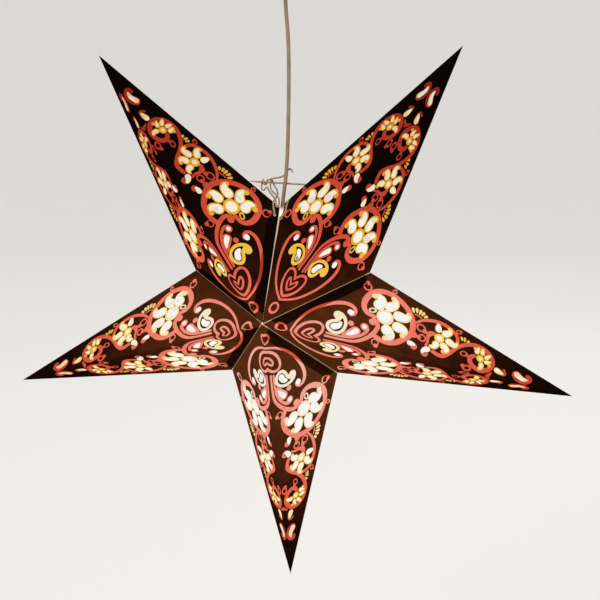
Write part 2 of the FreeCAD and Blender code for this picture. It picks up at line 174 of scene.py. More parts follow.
def disc(centre: Sequence[float], radius: float, stretch: float = 1.0, turn: float = 0.0) -> Array:
    """An ellipse: a circle, stretched along a line that may be turned.

    Args:
        centre: Its middle.
        radius: The circle's radius.
        stretch: How many times as long it is along the line.
        turn: The line's angle from the ridge, in degrees.

    Returns:
        The closed outline.
    """
    spacing = 0.9
    count = max(14, int(2 * math.pi * radius * math.sqrt(stretch) / spacing))
    angle = np.linspace(0, 2 * math.pi, count, endpoint=False)
    flat = np.stack([radius * stretch * np.cos(angle), radius * np.sin(angle)], 1)
    c, s = math.cos(math.radians(turn)), math.sin(math.radians(turn))
    return flat @ np.array([[c, s], [-s, c]]) + centre


def ribbon(points: Places, widths: Sequence[float], spacing: float = 1.2) -> Array:
    """A brush stroke: the curve through the points, moved half the width to either side.

    The width runs evenly from one given value to the next along the curve, and each end is
    rounded by a half circle.

    Args:
        points: Points on the stroke's middle line.
        widths: Widths at even steps along it.
        spacing: Distance between samples.

    Returns:
        The closed outline.
    """
    line = smooth_curve(points, spacing)
    step, left = sides(line)
    half = np.interp(np.linspace(0, 1, len(line)), np.linspace(0, 1, len(widths)), widths) / 2
    fan = np.radians([30, 60, 90, 120, 150])[:, None]
    tail = line[-1] + half[-1] * (np.cos(fan) * left[-1] + np.sin(fan) * step[-1])
    head = line[0] - half[0] * (np.cos(fan) * left[0] + np.sin(fan) * step[0])
    return np.vstack([line + left * half[:, None], tail, (line - left * half[:, None])[::-1], head])


def drop(spine: Places, radius: float, grow: float = 0.0, taper: float = 0.5) -> Array:
    """A drop or paisley: a round belly that tapers along a bent spine to a tip.

    Behind the middle of the belly the half width is that of a circle. Ahead of it, it is the
    radius times one minus the fraction of the way to the tip to the power 1.7, all to the power
    of the taper. Samples lie closer together towards the tip, which moves out a little further
    than the sides do when the outline grows.

    Args:
        spine: The belly's middle, any bends, and the tip.
        radius: The belly's radius.
        grow: How far the outline is moved outwards all round.
        taper: 0.5 for a round tip, more for a sharper one.

    Returns:
        The closed outline.
    """
    r = radius + grow
    tip_growth, spacing, crowding, fullness = 1.3, 0.6, 1.6, 1.7
    line = smooth_curve(spine, 0.25)
    line = np.vstack([line, line[-1] + unit(line[-1] - line[-2]) * grow * tip_growth])
    length = distances(line)[-1]
    back = -r * np.cos(np.linspace(0, math.pi / 2, 9))[:-1]
    ahead = length * (1 - (1 - np.linspace(0, 1, max(12, int(length / spacing)))) ** crowding)
    at = np.concatenate([back, ahead])
    spot = sample(line, at) + np.minimum(at, 0)[:, None] * unit(line[1] - line[0])
    _, left = sides(spot)
    half = np.where(at < 0, np.sqrt(np.maximum(r * r - at * at, 0)),
                    r * np.maximum(1 - (np.maximum(at, 0) / length) ** fullness, 0) ** taper)
    reach = left * half[:, None]
    return np.vstack([spot + reach, (spot - reach)[-2:0:-1]])


def inside(spots: Array, starts: Array, ends: Optional[Array] = None) -> Array:
    """Whether each spot is inside a closed outline, or inside several and outside their holes.

    Of the edges that cross a level line on the spot's right, those that go up less those that go
    down don't come to nothing when it is inside.

    Args:
        spots: The spots.
        starts: Where each edge starts.
        ends: Where each edge ends, if that isn't where the next one starts.

    Returns:
        True or false for each spot.
    """
    ends = np.roll(starts, -1, axis=0) if ends is None else ends
    low, high = starts[None, :, 1], ends[None, :, 1]
    y = spots[:, None, 1]
    rise = np.where(high == low, 1.0, high - low)
    cross = starts[None, :, 0] + (y - low) / rise * (ends[None, :, 0] - starts[None, :, 0])
    turns = np.where(cross > spots[:, None, 0], (high > y).astype(int) - (low > y), 0)
    return turns.sum(1) != 0


class Ink(IntEnum):
    """What a patch of the sheet is. The number is the material slot on a point."""

    GROUND = 0      # dark brown print
    RED = 1
    YELLOW = 2
    MARGIN = 3      # the unprinted edge that shows along a lap joint
    INSIDE = 4      # the white back of the sheet
    CORE = 5        # cut edges
    WINDOW = 6      # nothing: cut away


@dataclass(frozen=True)
class Motif:
    """One closed outline and what it prints or cuts. Later motifs cover earlier ones."""

    outline: Array
    ink: Ink


def laid(ink: Ink, *outlines: Array) -> list[Motif]:
    """The same ink on several outlines."""
    return [Motif(outline, ink) for outline in outlines]


@dataclass(frozen=True)
class Petal:
    """A blossom's petal: a window, its yellow rim, and the curl at its end."""

    spine: tuple
    radius: float
    curl: Optional[tuple] = None
    curl_radius: float = 0.0
    rim: float = 1.4

    def motifs(self) -> list[Motif]:
        """The yellow rim and curl, and the window.

        Returns:
            Motifs, the window last.
        """
        made = laid(Ink.YELLOW, drop(self.spine, self.radius, self.rim))
        if self.curl:
            made += laid(Ink.YELLOW, disc(self.curl, self.curl_radius))
        return made + laid(Ink.WINDOW, drop(self.spine, self.radius, taper=0.66))


@dataclass(frozen=True)
class Ringlet:
    """A small red curl: a ring with a dark middle, thickened to a blob on one side."""

    centre: tuple
    radius: float
    blob: tuple
    blob_radius: float
    stretch: float = 1.0
    turn: float = 0.0
    line: float = 1.6

    def motifs(self) -> list[Motif]:
        """The ring, its middle and the blob.

        Returns:
            Motifs, the blob last.
        """
        ring = disc(self.centre, self.radius, self.stretch, self.turn)
        middle = disc(self.centre, self.radius - self.line, self.stretch, self.turn)
        blob = disc(self.blob, self.blob_radius)
        return laid(Ink.RED, ring) + laid(Ink.GROUND, middle) + laid(Ink.RED, blob)


@dataclass(frozen=True)
class Ornament:
    """The print and the die-cut windows of one facet: mehndi scrolls, hearts and blossoms."""

    big_heart: tuple = (127.0, 42.5)
    big_petals: tuple = (
        Petal(((129.4, 27.2), (132.4, 22.0), (130.6, 17.0)), 5.2, (127.4, 17.2), 3.0),
        Petal(((140.9, 34.0), (146.6, 32.0), (149.2, 27.4)), 5.0, (146.2, 25.0), 3.1),
        Petal(((142.0, 47.6), (148.8, 47.0), (154.4, 51.0)), 5.0, (153.0, 52.2), 2.9),
        Petal(((132.0, 56.4), (137.2, 60.2), (139.4, 66.6)), 4.6, (136.4, 67.9), 3.1),
        Petal(((120.3, 55.9), (123.1, 62.3), (119.6, 68.4)), 5.0, (115.4, 65.9), 3.2),
    )
    medium_heart: tuple = (187.0, 32.5)
    medium_petals: tuple = (
        Petal(((183.0, 24.7), (181.2, 21.4), (177.2, 19.8)), 2.8, (176.8, 20.6), 1.9, 1.2),
        Petal(((191.4, 24.2), (194.6, 20.8), (192.4, 17.2)), 3.3, (190.6, 17.2), 2.3, 1.2),
        Petal(((197.6, 31.0), (203.0, 28.2), (207.0, 30.4)), 3.3, (206.6, 31.4), 1.9, 1.2),
        Petal(((193.9, 39.6), (198.4, 42.0), (200.2, 46.4)), 3.3, (198.8, 46.6), 2.2, 1.2),
        Petal(((186.2, 43.3), (186.3, 50.4)), 3.4, None, 0.0, 0.4),
    )
    small_heart: tuple = (232.5, 19.5)
    small_petals: tuple = (
        Petal(((233.2, 12.3), (232.4, 8.8), (229.8, 6.4)), 2.0, (230.6, 7.2), 1.6, 1.1),
        Petal(((238.9, 16.5), (244.2, 18.0)), 1.8, (242.2, 13.3), 1.9, 0.9),
        Petal(((239.5, 22.1), (244.5, 26.0)), 1.8, None, 0.0, 1.0),
        Petal(((235.4, 26.6), (236.0, 32.0)), 1.8, None, 0.0, 1.1),
        Petal(((229.1, 26.9), (231.6, 32.2)), 1.9, (227.3, 30.7), 1.9, 1.1),
    )

    def near_ring(self) -> list[Motif]:
        """The ring that straddles the ridge next to the star's middle."""
        return laid(Ink.RED, disc((19.2, 0), 7.2, 0.9)) + laid(Ink.GROUND, disc((19.4, 0), 4.5, 0.9))

    def hearts(self) -> list[Motif]:
        """Three nested hearts with their points towards the star's middle.

        Returns:
            Motifs, the largest heart first and the window at its end last.
        """
        outer = [(26.2, -7.0), (28.6, -1.2), (31.3, 5.2), (35.7, 13.9), (42.9, 23.9), (53.6, 33.9),
                 (64.3, 41.2), (75.9, 46.5), (85.7, 48.1), (93.0, 45.6), (95.2, 41.0), (93.4, 36.6),
                 (90.0, 35.0)]
        middle = [(31.0, -5.6), (33.6, 0.0), (36.4, 5.4), (41.7, 11.4), (48.2, 15.3), (54.8, 16.9),
                  (59.2, 16.2), (61.7, 13.1), (61.3, 8.2), (58.6, 3.8), (54.9, 0.6), (50.6, -2.6)]
        inner = [(37.6, -4.8), (40.6, 0.0), (43.2, 3.6), (47.1, 6.6), (51.0, 7.8), (53.2, 6.8), (51.4, 4.4),
                 (48.2, 1.2), (44.6, -1.6)]
        return laid(
            Ink.RED,
            ribbon(outer, (2.2, 2.3, 2.4, 2.6, 2.8, 3.0, 3.3, 3.8, 4.4, 4.6, 3.8, 2.6)),
            ribbon(middle, (2.8, 3.0, 3.0, 3.0, 2.8, 2.6)),
            ribbon(inner, (2.0, 2.2, 2.4, 2.2, 2.0)),
        ) + laid(Ink.WINDOW, disc((89.9, 38.5), 3.3, 1.1, 20))

    def stems(self) -> list[Motif]:
        """The fan of stems that leaves the hearts' cleft.

        Returns:
            Motifs.
        """
        outer = [(64.3, 3.3), (80.4, 3.3), (93.4, 4.3), (102.6, 8.3), (111.2, 15.2), (117.2, 23.2),
                 (119.4, 29.8), (117.6, 35.2), (114.6, 36.6)]
        second = [(65.8, 7.0), (80.4, 7.0), (91.0, 8.3), (100.6, 12.8), (106.8, 18.6), (108.8, 22.6)]
        return laid(
            Ink.RED,
            ribbon(outer, (2.6, 2.6, 2.8, 3.4, 4.2, 4.8, 4.8, 4.0)),
            disc((113.7, 33.2), 4.0),
            ribbon(second, (2.5, 2.5, 2.6, 3.0, 3.6)),
            disc((105.4, 24.8), 4.5),
            drop(((96.2, 17.6), (90.8, 13.8), (83.2, 10.0)), 3.1, 1.9, 0.8),
            disc((90.8, 25.2), 3.2),
        ) + laid(
            Ink.WINDOW,
            drop(((96.6, 17.6), (92.0, 13.8), (85.8, 10.4)), 2.9, taper=0.62),
            disc((105.2, 24.9), 2.5),
        )

    def paisley(self) -> list[Motif]:
        """The yellow paisley in the crook of the heart line.

        Returns:
            Motifs.
        """
        body = [(74.1, 7.7), (67.8, 9.8), (64.3, 14.9), (65.5, 20.4), (69.8, 24.2), (74.6, 26.4),
                (72.6, 28.6), (71.9, 31.8), (73.6, 35.2), (77.5, 36.6), (81.9, 35.2), (85.2, 31.4),
                (87.0, 25.7), (86.6, 19.8), (84.0, 14.1), (79.9, 9.8)]
        line = [(73.2, 11.5), (68.9, 14.0), (68.2, 17.8), (71.0, 20.8), (75.2, 22.4), (78.8, 24.8),
                (81.4, 28.8), (82.2, 28.6), (83.5, 23.6), (82.2, 17.4), (78.6, 12.8)]
        return (
            laid(Ink.YELLOW, smooth_curve(body, 1.4, True))
            + laid(Ink.GROUND, smooth_curve(line, 1.3, True))
            + laid(Ink.WINDOW, drop(((72.8, 16.5), (77.6, 19.0), (80.9, 24.4)), 3.5))
        )

    def scrolls(self) -> list[Motif]:
        """The red scrolls that enclose the three blossoms.

        Returns:
            Motifs.
        """
        big = [(116.2, 16.6), (122.6, 13.6), (130.6, 12.6), (138.4, 14.6), (144.4, 18.6), (152.9, 26.2),
               (157.0, 34.6), (157.6, 43.0), (156.2, 50.4), (152.0, 59.0), (144.2, 67.2), (133.8, 72.9),
               (123.2, 73.9), (113.7, 69.9), (106.4, 60.9), (103.8, 51.2), (107.2, 43.2), (115.8, 40.2)]
        vine = [(179.4, 14.6), (184.6, 12.2), (190.2, 12.0), (197.6, 17.3), (206.2, 26.0), (216.8, 32.4),
                (229.6, 34.4), (241.4, 29.3), (246.6, 18.6), (241.4, 8.9), (232.0, 5.2), (223.6, 8.4),
                (220.4, 14.6), (222.4, 19.4), (225.8, 21.4)]
        medium = [(207.4, 29.6), (206.6, 40.8), (196.6, 49.4), (183.8, 52.6), (170.0, 50.4), (161.2, 45.2)]
        crescent = [(171.8, 20.2), (174.0, 25.8), (174.2, 31.0), (177.0, 35.8), (181.6, 36.8)]
        return laid(
            Ink.RED,
            ribbon(big, (5.4, 6.0, 6.2, 6.4, 6.4, 6.4, 6.2, 6.2, 6.2, 6.4, 6.8, 6.6, 5.6, 4.6), 1.6),
            disc((158.2, 29.8), 4.0),
            ribbon(medium, (3.6, 4.2, 4.4, 4.2, 3.8, 2.4)),
            ribbon(crescent, (2.6, 3.0, 3.4, 6.4, 4.2)),
            ribbon(vine, (4.6, 5.0, 4.8, 4.4, 4.6, 5.0, 5.2, 5.2, 5.4, 5.8, 5.6, 4.6)),
        )

    def blossoms(self) -> list[Motif]:
        """Three blossoms of five petals, smaller towards the tip.

        Returns:
            Motifs.
        """
        made: list[Motif] = []
        for heart, petals, window, rim in (
            (self.big_heart, self.big_petals, 6.4, 2.9),
            (self.medium_heart, self.medium_petals, 3.1, 2.5),
            (self.small_heart, self.small_petals, 2.0, 2.4),
        ):
            parts = [petal.motifs() for petal in petals]
            made += [motif for part in parts for motif in part[:-1]]
            made += laid(Ink.YELLOW, disc(heart, window + rim))
            made += [part[-1] for part in parts]
            made += laid(Ink.WINDOW, disc(heart, window))
        made += laid(Ink.YELLOW, disc((113.6, 47.6), 3.1, 1.5, 15))
        made += laid(Ink.GROUND, disc((113.3, 47.4), 1.6, 1.7, 15))
        return made + laid(Ink.YELLOW, disc((115.0, 46.0), 0.8))

    def curls(self) -> list[Motif]:
        """The small red curls and hooked drops round the scrolls.

        Returns:
            Motifs.
        """
        ringlets = (
            Ringlet((116.8, 9.2), 4.2, (117.6, 5.4), 2.4, line=1.2),
            Ringlet((107.2, 75.6), 5.0, (107.0, 80.4), 2.6),
            Ringlet((137.4, 77.6), 2.8, (138.4, 79.6), 1.5, line=1.2),
            Ringlet((167.6, 28.0), 4.6, (164.0, 28.0), 2.6),
            Ringlet((166.8, 40.0), 4.8, (170.8, 36.8), 2.8, 1.15, -30),
            Ringlet((214.0, 21.0), 3.2, (217.6, 19.6), 2.0, 1.4, 10, 1.2),
            Ringlet((216.6, 4.4), 3.7, (212.4, 6.0), 2.4, 1.45, 8, 1.7),
            Ringlet((209.4, 46.2), 2.8, (211.6, 47.2), 1.6, 1.25, 10, 1.1),
        )
        last_drop = ((250.9, 9.9), (254.4, 8.4), (257.8, 7.2))
        made = [motif for ringlet in ringlets for motif in ringlet.motifs()]
        made += laid(
            Ink.RED,
            ribbon([(238.4, -0.6), (240.8, 1.6), (244.2, 5.4)], (3.2, 3.0, 1.6)),
            ribbon([(160.2, 18.6), (161.0, 15.6), (158.8, 13.2), (156.4, 14.2)], (1.4, 2.8, 3.8, 3.0)),
            ribbon([(166.2, 12.4), (167.8, 9.0), (170.8, 8.0), (173.0, 10.2)], (1.4, 2.8, 3.8, 2.8)),
        )
        made += laid(
            Ink.WINDOW,
            drop(((154.2, 18.4), (157.2, 18.0), (160.0, 16.4)), 3.0, taper=0.6),
            drop(((173.2, 15.8), (169.8, 13.8), (167.0, 10.0)), 3.3, taper=0.6),
        )
        hook = ribbon([(256.0, 5.4), (259.0, 6.0), (260.2, 8.8), (259.0, 12.2)], (1.0, 1.8, 2.4, 2.8))
        made += laid(Ink.RED, hook)
        made += laid(Ink.YELLOW, drop(last_drop, 3.0, 0.6))
        return made + laid(Ink.WINDOW, drop(last_drop, 3.0, taper=0.6))

    def tip_drop(self) -> list[Motif]:
        """The large hooked drop near the tip.

        Returns:
            Motifs.
        """
        hook = [(270.4, 12.6), (269.0, 8.8), (272.6, 3.6), (280.6, 1.9), (287.0, 5.6), (288.4, 9.8),
                (285.4, 11.2)]
        return laid(
            Ink.RED,
            ribbon(hook, (2.2, 2.4, 2.4, 2.6, 3.4, 5.0, 4.0)),
            drop(((273.8, 10.6), (279.2, 6.4), (286.0, 6.4)), 3.5, 0.8),
        ) + laid(Ink.WINDOW, drop(((273.6, 10.4), (279.2, 6.8), (285.8, 6.6)), 3.3))

    def bead_fans(self) -> list[Motif]:
        """Fans of yellow beads outside the big and medium scrolls.

        Returns:
            Motifs.
        """
        big = (((158.9, 56.9), (157.7, 61.6)), ((162.3, 57.2), (162.1, 62.2)),
               ((164.8, 55.8), (166.5, 61.0)), ((167.5, 55.2), (169.9, 59.0)),
               ((169.9, 53.7), (172.9, 55.6)))
        medium = (((212.9, 36.0), (212.2, 39.8)), ((215.4, 35.4), (215.8, 39.6)),
                  ((217.8, 34.6), (219.8, 37.2)))
        made = laid(Ink.RED, ribbon([(159.8, 55.4), (163.2, 54.5), (167.2, 52.6)], (1.4, 1.8, 1.4)))
        for beads, radius in ((big, 1.65), (medium, 1.45)):
            made += laid(Ink.YELLOW, *(drop((far, near), radius) for near, far in beads))
        return made

    def motifs(self) -> list[Motif]:
        """Everything, in the order in which it is laid down.

        Returns:
            Motifs, each of which covers those before it.
        """
        return (
            self.near_ring() + self.hearts() + self.stems() + self.paisley() + self.bead_fans()
            + self.scrolls() + self.curls() + self.blossoms() + self.tip_drop()
        )


# --- folding the flat ornament into points ------------------------------------------------------


class Seam(Enum):
    """How a facet's edge towards the next point is finished."""

    LAP_OVER = "panel on top of the neighbour's glue flap"
    LAP_UNDER = "panel that runs on into its own glue flap"
    OPEN_SLOT = "open seam, pushed aside by the cord"
    OPEN_FLAP = "open seam, with its own flap turned back inside"

    @property
    def is_open(self) -> bool:
        """Whether it is one side of the open seam."""
        return self in (Seam.OPEN_SLOT, Seam.OPEN_FLAP)

    @property
    def has_flap(self) -> bool:
        """Whether a flap lies under the panel."""
        return self in (Seam.LAP_OVER, Seam.OPEN_FLAP)


@dataclass(frozen=True)
class Flat:
    """A flat net of triangles with an ink and a count of layers on each."""

    spots: Array
    triangles: Array
    inks: Array
    layers: Array


@dataclass(frozen=True)
class Station:
    """Which of the star's twenty facets one is."""

    side: int          # 1 for the half towards the next point counter-clockwise, else -1
    front: int         # 1 for the front half, else -1
    angle: float       # where its point points, in degrees from +X towards +Z


@dataclass(frozen=True)
class StarShape:
    """The geometry of the star, in mm from its centre. +X right, +Y away, +Z up."""

    tip_radius: float = 320.0
    notch_radius: float = 99.0
    apex_depth: float = 105.0
    paper: float = 0.5           # thickness of the sheet
    step: float = 72.0           # degrees from one point to the next
    points: tuple = (
        ("point_right", -18.0),
        ("point_upper_right", 54.0),
        ("point_upper_left", 126.0),
        ("point_left", 198.0),
        ("point_bottom", 270.0),
    )
    open_seam: float = 90.0      # degrees from +X towards +Z
    open_edge: tuple = (         # the open seam's edges: height up the seam, gap left and right of it
        (0.0, 0.02, 0.02), (38.0, 0.02, 0.02), (82.0, 0.02, 0.03), (99.0, 0.04, 0.50),
    )
    bare_edge: tuple = (         # the unprinted strip along it: height up the seam, and its width
        (12.0, 0.05), (30.0, 1.1), (64.0, 1.2), (72.0, 2.0), (86.0, 2.4), (99.0, 2.4),
    )
    tab: float = 11.5            # width of a glue flap
    tab_start: float = 9.0       # from the apex to a flap
    tab_end: float = 5.0         # from a flap to the notch
    mitre: float = 0.6           # how far a flap's ends slope, as a share of its width
    margin: float = 0.8          # width of the unprinted edge along a lap joint
    pinhole: float = 0.8         # radius of the hole at an apex
    slot: tuple = (2.6, 2.7, 10.5)       # the lamp cord's slot: offset to the right, half width, half depth
    slot_corners: float = 0.6            # 1 would make the slot an ellipse, and 0 a box
    lace_down: tuple = (17.0, 12.0)      # the string holes right and left of the open seam, below the notch
    lace_out: float = 4.5        # from the open seam to a string hole
    lace_hole: float = 1.5       # radius of a string hole

    def corners(self) -> tuple[Array, Array, Array]:
        """The front apex, the notch and the tip of a point at angle 0.

        Returns:
            Three places in mm from the centre.
        """
        half = math.radians(self.step / 2)
        notch = np.array([math.cos(half), 0, math.sin(half)]) * self.notch_radius
        return np.array([0, -self.apex_depth, 0.0]), notch, np.array([self.tip_radius, 0, 0.0])

    def axes(self) -> tuple[Array, Array, Array]:
        """Along the ridge, away from it in the facet, and out of the facet.

        Returns:
            Three unit vectors.
        """
        apex, notch, tip = self.corners()
        along = unit(tip - apex)
        across = unit((notch - apex) - along * ((notch - apex) @ along))
        return along, across, np.cross(along, across)

    def flat(self, place: Array) -> Array:
        """The flat measure of a place on the facet.

        Args:
            place: A place in mm from the centre, or rows of them.

        Returns:
            Its distance along the ridge and away from it.
        """
        along, across, _ = self.axes()
        away = place - self.corners()[0]
        return np.stack([away @ along, away @ across], -1)

    def seam_spot(self, down: float, out: float) -> Array:
        """A flat spot some mm down the seam from the apex, and some mm in from it."""
        way = unit(self.flat(self.corners()[1]))
        return way * down + np.array([way[1], -way[0]]) * out

    def seam_length(self) -> float:
        """Length of a seam from the apex to the notch."""
        return float(np.linalg.norm(self.flat(self.corners()[1])))

    def fold(self, spots: Array, lift: float, station: Station) -> Array:
        """Place flat spots on one facet of one point.

        The place is the apex plus each measure times its axis plus the lift times the facet's
        outward direction. Mirror signs then pick the facet, and a turn about the depth axis
        picks the point.

        Args:
            spots: Flat measures.
            lift: Mm outwards from the facet's outer face.
            station: Which facet it is.

        Returns:
            Places in mm in the row frame.
        """
        along, across, out = self.axes()
        place = self.corners()[0] + spots[:, :1] * along + spots[:, 1:] * across + lift * out
        place = place * np.array([1, station.front, station.side])
        c, s = math.cos(math.radians(station.angle)), math.sin(math.radians(station.angle))
        turned = np.stack([place[:, 0] * c - place[:, 2] * s, place[:, 1],
                           place[:, 0] * s + place[:, 2] * c], 1)
        return turned + STAR_CENTRE

    def drilled(self, middle: Sequence[float], radii: Sequence[float], axis: int, angle: float,
                corners: float = 1.0) -> Array:
        """The outline that a straight hole leaves on a front facet.

        Across the hole its outline is the middle plus each radius times the cosine or the sine
        of the turn, whose size is raised to the power of corners.

        Args:
            middle: The hole's middle, on the two axes across it.
            radii: Its half sizes on those axes.
            axis: The axis it runs along, 1 for depth or 2 for height, when the point stands at angle.
            angle: The point's angle.
            corners: 1 for an ellipse, less for one that is closer to its box.

        Returns:
            The outline in the facet's flat measure, for the side towards +Z of angle 0.
        """
        turn = np.linspace(0, 2 * math.pi, 20, endpoint=False)
        c, s = math.cos(math.radians(angle)), math.sin(math.radians(angle))
        back = np.array([[c, 0, s], [0, 1, 0], [-s, 0, c]])      # undoes the point's turn
        across = [i for i in range(3) if i != axis]
        place = np.zeros((len(turn), 3))
        for row, centre, radius, wave in zip(across, middle, radii, (np.cos(turn), np.sin(turn))):
            place[:, row] = centre + radius * np.sign(wave) * np.abs(wave) ** corners
        place = place @ back.T
        way = back @ np.eye(3)[axis]
        _, _, out = self.axes()
        reach = ((self.corners()[0] - place) @ out) / (way @ out)
        return self.flat(place + reach[:, None] * way)


def directed_rims(triangles: Array) -> Array:
    """Edges with a triangle on their left only.

    Args:
        triangles: Three spot numbers each, all turning the same way.

    Returns:
        Pairs of spot numbers.
    """
    edges = np.vstack([triangles[:, [0, 1]], triangles[:, [1, 2]], triangles[:, [2, 0]]])
    size = int(triangles.max()) + 1
    return edges[~np.isin(edges[:, 0] * size + edges[:, 1], edges[:, 1] * size + edges[:, 0])]


def triangulate(spots: Array, edges: Array) -> tuple[Array, Array]:
    """Delaunay triangles that keep to the given edges, all turning the same way.

    Args:
        spots: Flat spots.
        edges: Pairs of their numbers.

    Returns:
        The spots, with those where edges cross, and the triangles.
    """
    same, least_area = 1e-6, 1e-7
    result = delaunay_2d_cdt(list(map(Vector, spots)), edges.tolist(), [], 0, same, False)
    flat = np.array(list(map(tuple, result[0])))
    triangles = np.array(result[2])
    a, b, c = (flat[triangles[:, i]] for i in range(3))
    area = (b[:, 0] - a[:, 0]) * (c[:, 1] - a[:, 1]) - (b[:, 1] - a[:, 1]) * (c[:, 0] - a[:, 0])
    triangles[area < 0] = triangles[area < 0][:, ::-1]
    return flat, triangles[np.abs(area) > least_area]


@dataclass(frozen=True)
class Facet:
    """One facet of folded sheet: the printed face, the white back and the cut edges."""

    shape: StarShape
    ornament: Ornament
    seam: Seam

    def edge(self) -> Array:
        """The open seam's edge in the flat, from the apex to the notch.

        Returns:
            Flat spots.
        """
        shape = self.shape
        half = math.radians(shape.step / 2)
        spread = math.sqrt(1 - (shape.axes()[2] @ np.array([-math.sin(half), 0, math.cos(half)])) ** 2)
        height, left, right = np.array(shape.open_edge).T
        gap = (left if self.seam is Seam.OPEN_FLAP else right) / spread
        down = shape.seam_length() * height / shape.notch_radius
        return np.array([shape.seam_spot(d, g) for d, g in zip(down, gap)])

    def bare_strip(self) -> Array:
        """The unprinted strip along the open seam, from 2 mm outside the seam.

        Returns:
            The closed outline.
        """
        shape = self.shape
        height, width = np.array(shape.bare_edge).T
        down = shape.seam_length() * height / shape.notch_radius
        return np.array([shape.seam_spot(d, -2.0) for d in down]
                        + [shape.seam_spot(d, w) for d, w in zip(down[::-1], width[::-1])])

    def corners(self) -> Array:
        """The facet's three corners in the flat: at the apex, the tip and the notch.

        Returns:
            Three flat spots.
        """
        apex, notch, tip = (self.shape.flat(place) for place in self.shape.corners())
        if not self.seam.is_open:
            return np.array([apex, tip, notch])
        edge = self.edge()
        first, last = edge[1] - edge[0], edge[-1] - edge[-2]
        reach = np.linalg.solve(np.stack([last, notch - tip], 1), notch - edge[-1])
        return np.array([edge[0] - first * edge[0][1] / first[1], tip, edge[-1] + last * reach[0]])

    def outline(self) -> Array:
        """The facet's rim in the flat, with the bends of an open seam between notch and apex.

        Returns:
            The closed outline.
        """
        if not self.seam.is_open:
            return self.corners()
        return np.vstack([self.corners(), self.edge()[-2:0:-1]])

    def ways(self) -> Array:
        """The directions of the ridge, the outer fold and the seam, one after the other.

        Returns:
            Three unit vectors in the flat.
        """
        rim = self.corners()
        way = np.roll(rim, -1, axis=0) - rim
        return way / np.linalg.norm(way, axis=1)[:, None]

    def strip(self, start: float, end: float, near: float, far: float, mitre: float) -> Array:
        """A strip along the seam.

        Args:
            start: Where it starts, in mm down the seam.
            end: Where it ends.
            near: Its edge nearer to the seam, in mm in from it.
            far: Its other edge.
            mitre: How much shorter the far edge is at each end.

        Returns:
            The strip's four corners in the flat.
        """
        return np.array([
            self.shape.seam_spot(start, near), self.shape.seam_spot(start + mitre, far),
            self.shape.seam_spot(end - mitre, far), self.shape.seam_spot(end, near),
        ])

    def flap_strip(self, near: float = 0.0) -> Array:
        """Where a glue flap lies.

        Args:
            near: Its edge nearer to the seam, in mm in from it.

        Returns:
            The strip's four corners in the flat.
        """
        shape = self.shape
        end = shape.seam_length() - shape.tab_end
        return self.strip(shape.tab_start, end, near, shape.tab, shape.mitre * shape.tab)

    def cuts(self) -> list[Motif]:
        """The pinhole at the apex, and the string hole and cord slot beside the open seam.

        Returns:
            The windows, as motifs.
        """
        shape = self.shape
        made = laid(Ink.WINDOW, shape.drilled((0, 0), (shape.pinhole,) * 2, 1, 0.0))
        if self.seam.is_open:
            down = shape.lace_down[self.seam is Seam.OPEN_FLAP]
            spot = shape.seam_spot(shape.seam_length() - down, shape.lace_out)
            made += laid(Ink.WINDOW, disc(spot, shape.lace_hole))
        if self.seam is Seam.OPEN_SLOT:
            offset, *halves = shape.slot
            angle = shape.open_seam - shape.step / 2
            made += laid(Ink.WINDOW, shape.drilled((offset, 0), halves, 2, angle, shape.slot_corners))
        return made

    def printed(self) -> Flat:
        """The printed face, cut into patches of one ink each.

        The rim, the flap's strip and every motif's outline become edges of one Delaunay net, and
        each triangle takes the ink of the last motif that its middle is inside.

        Returns:
            The face, without its windows.
        """
        shape = self.shape
        rim = self.outline()
        motifs = self.ornament.motifs()
        if self.seam is Seam.LAP_OVER:
            past = 5.0
            edge = self.strip(-past, shape.seam_length() + past, -3, shape.margin, 0)
            motifs += laid(Ink.MARGIN, edge)
        if self.seam is Seam.OPEN_SLOT:
            motifs += laid(Ink.MARGIN, self.bare_strip())
        motifs += self.cuts()
        flap = self.flap_strip(-3.0)
        outlines = [rim, flap] + [motif.outline for motif in motifs]
        starts = np.cumsum([0] + [len(outline) for outline in outlines[:-1]])
        edges = np.vstack([
            np.stack([np.arange(len(outline)), np.roll(np.arange(len(outline)), -1)], 1) + start
            for outline, start in zip(outlines, starts)
        ])
        spots, triangles = triangulate(np.vstack(outlines), edges)
        middle = spots[triangles].mean(1)
        ink = np.full(len(triangles), int(Ink.GROUND))
        for motif in motifs:
            ink[inside(middle, motif.outline)] = int(motif.ink)
        keep = inside(middle, rim) & (ink != Ink.WINDOW)
        doubled = inside(middle, flap) & self.seam.has_flap
        return Flat(spots, triangles[keep], ink[keep], 1.0 + doubled[keep])

    def on_lines(self, spots: Array) -> Array:
        """Whether each spot is on the ridge, the outer fold and the seam, as columns.

        Args:
            spots: Flat spots.

        Returns:
            Three columns of true or false.
        """
        way = self.ways()[None]
        away = spots[:, None] - self.corners()[None]
        return np.abs(away[..., 1] * way[..., 0] - away[..., 0] * way[..., 1]) < NEAR

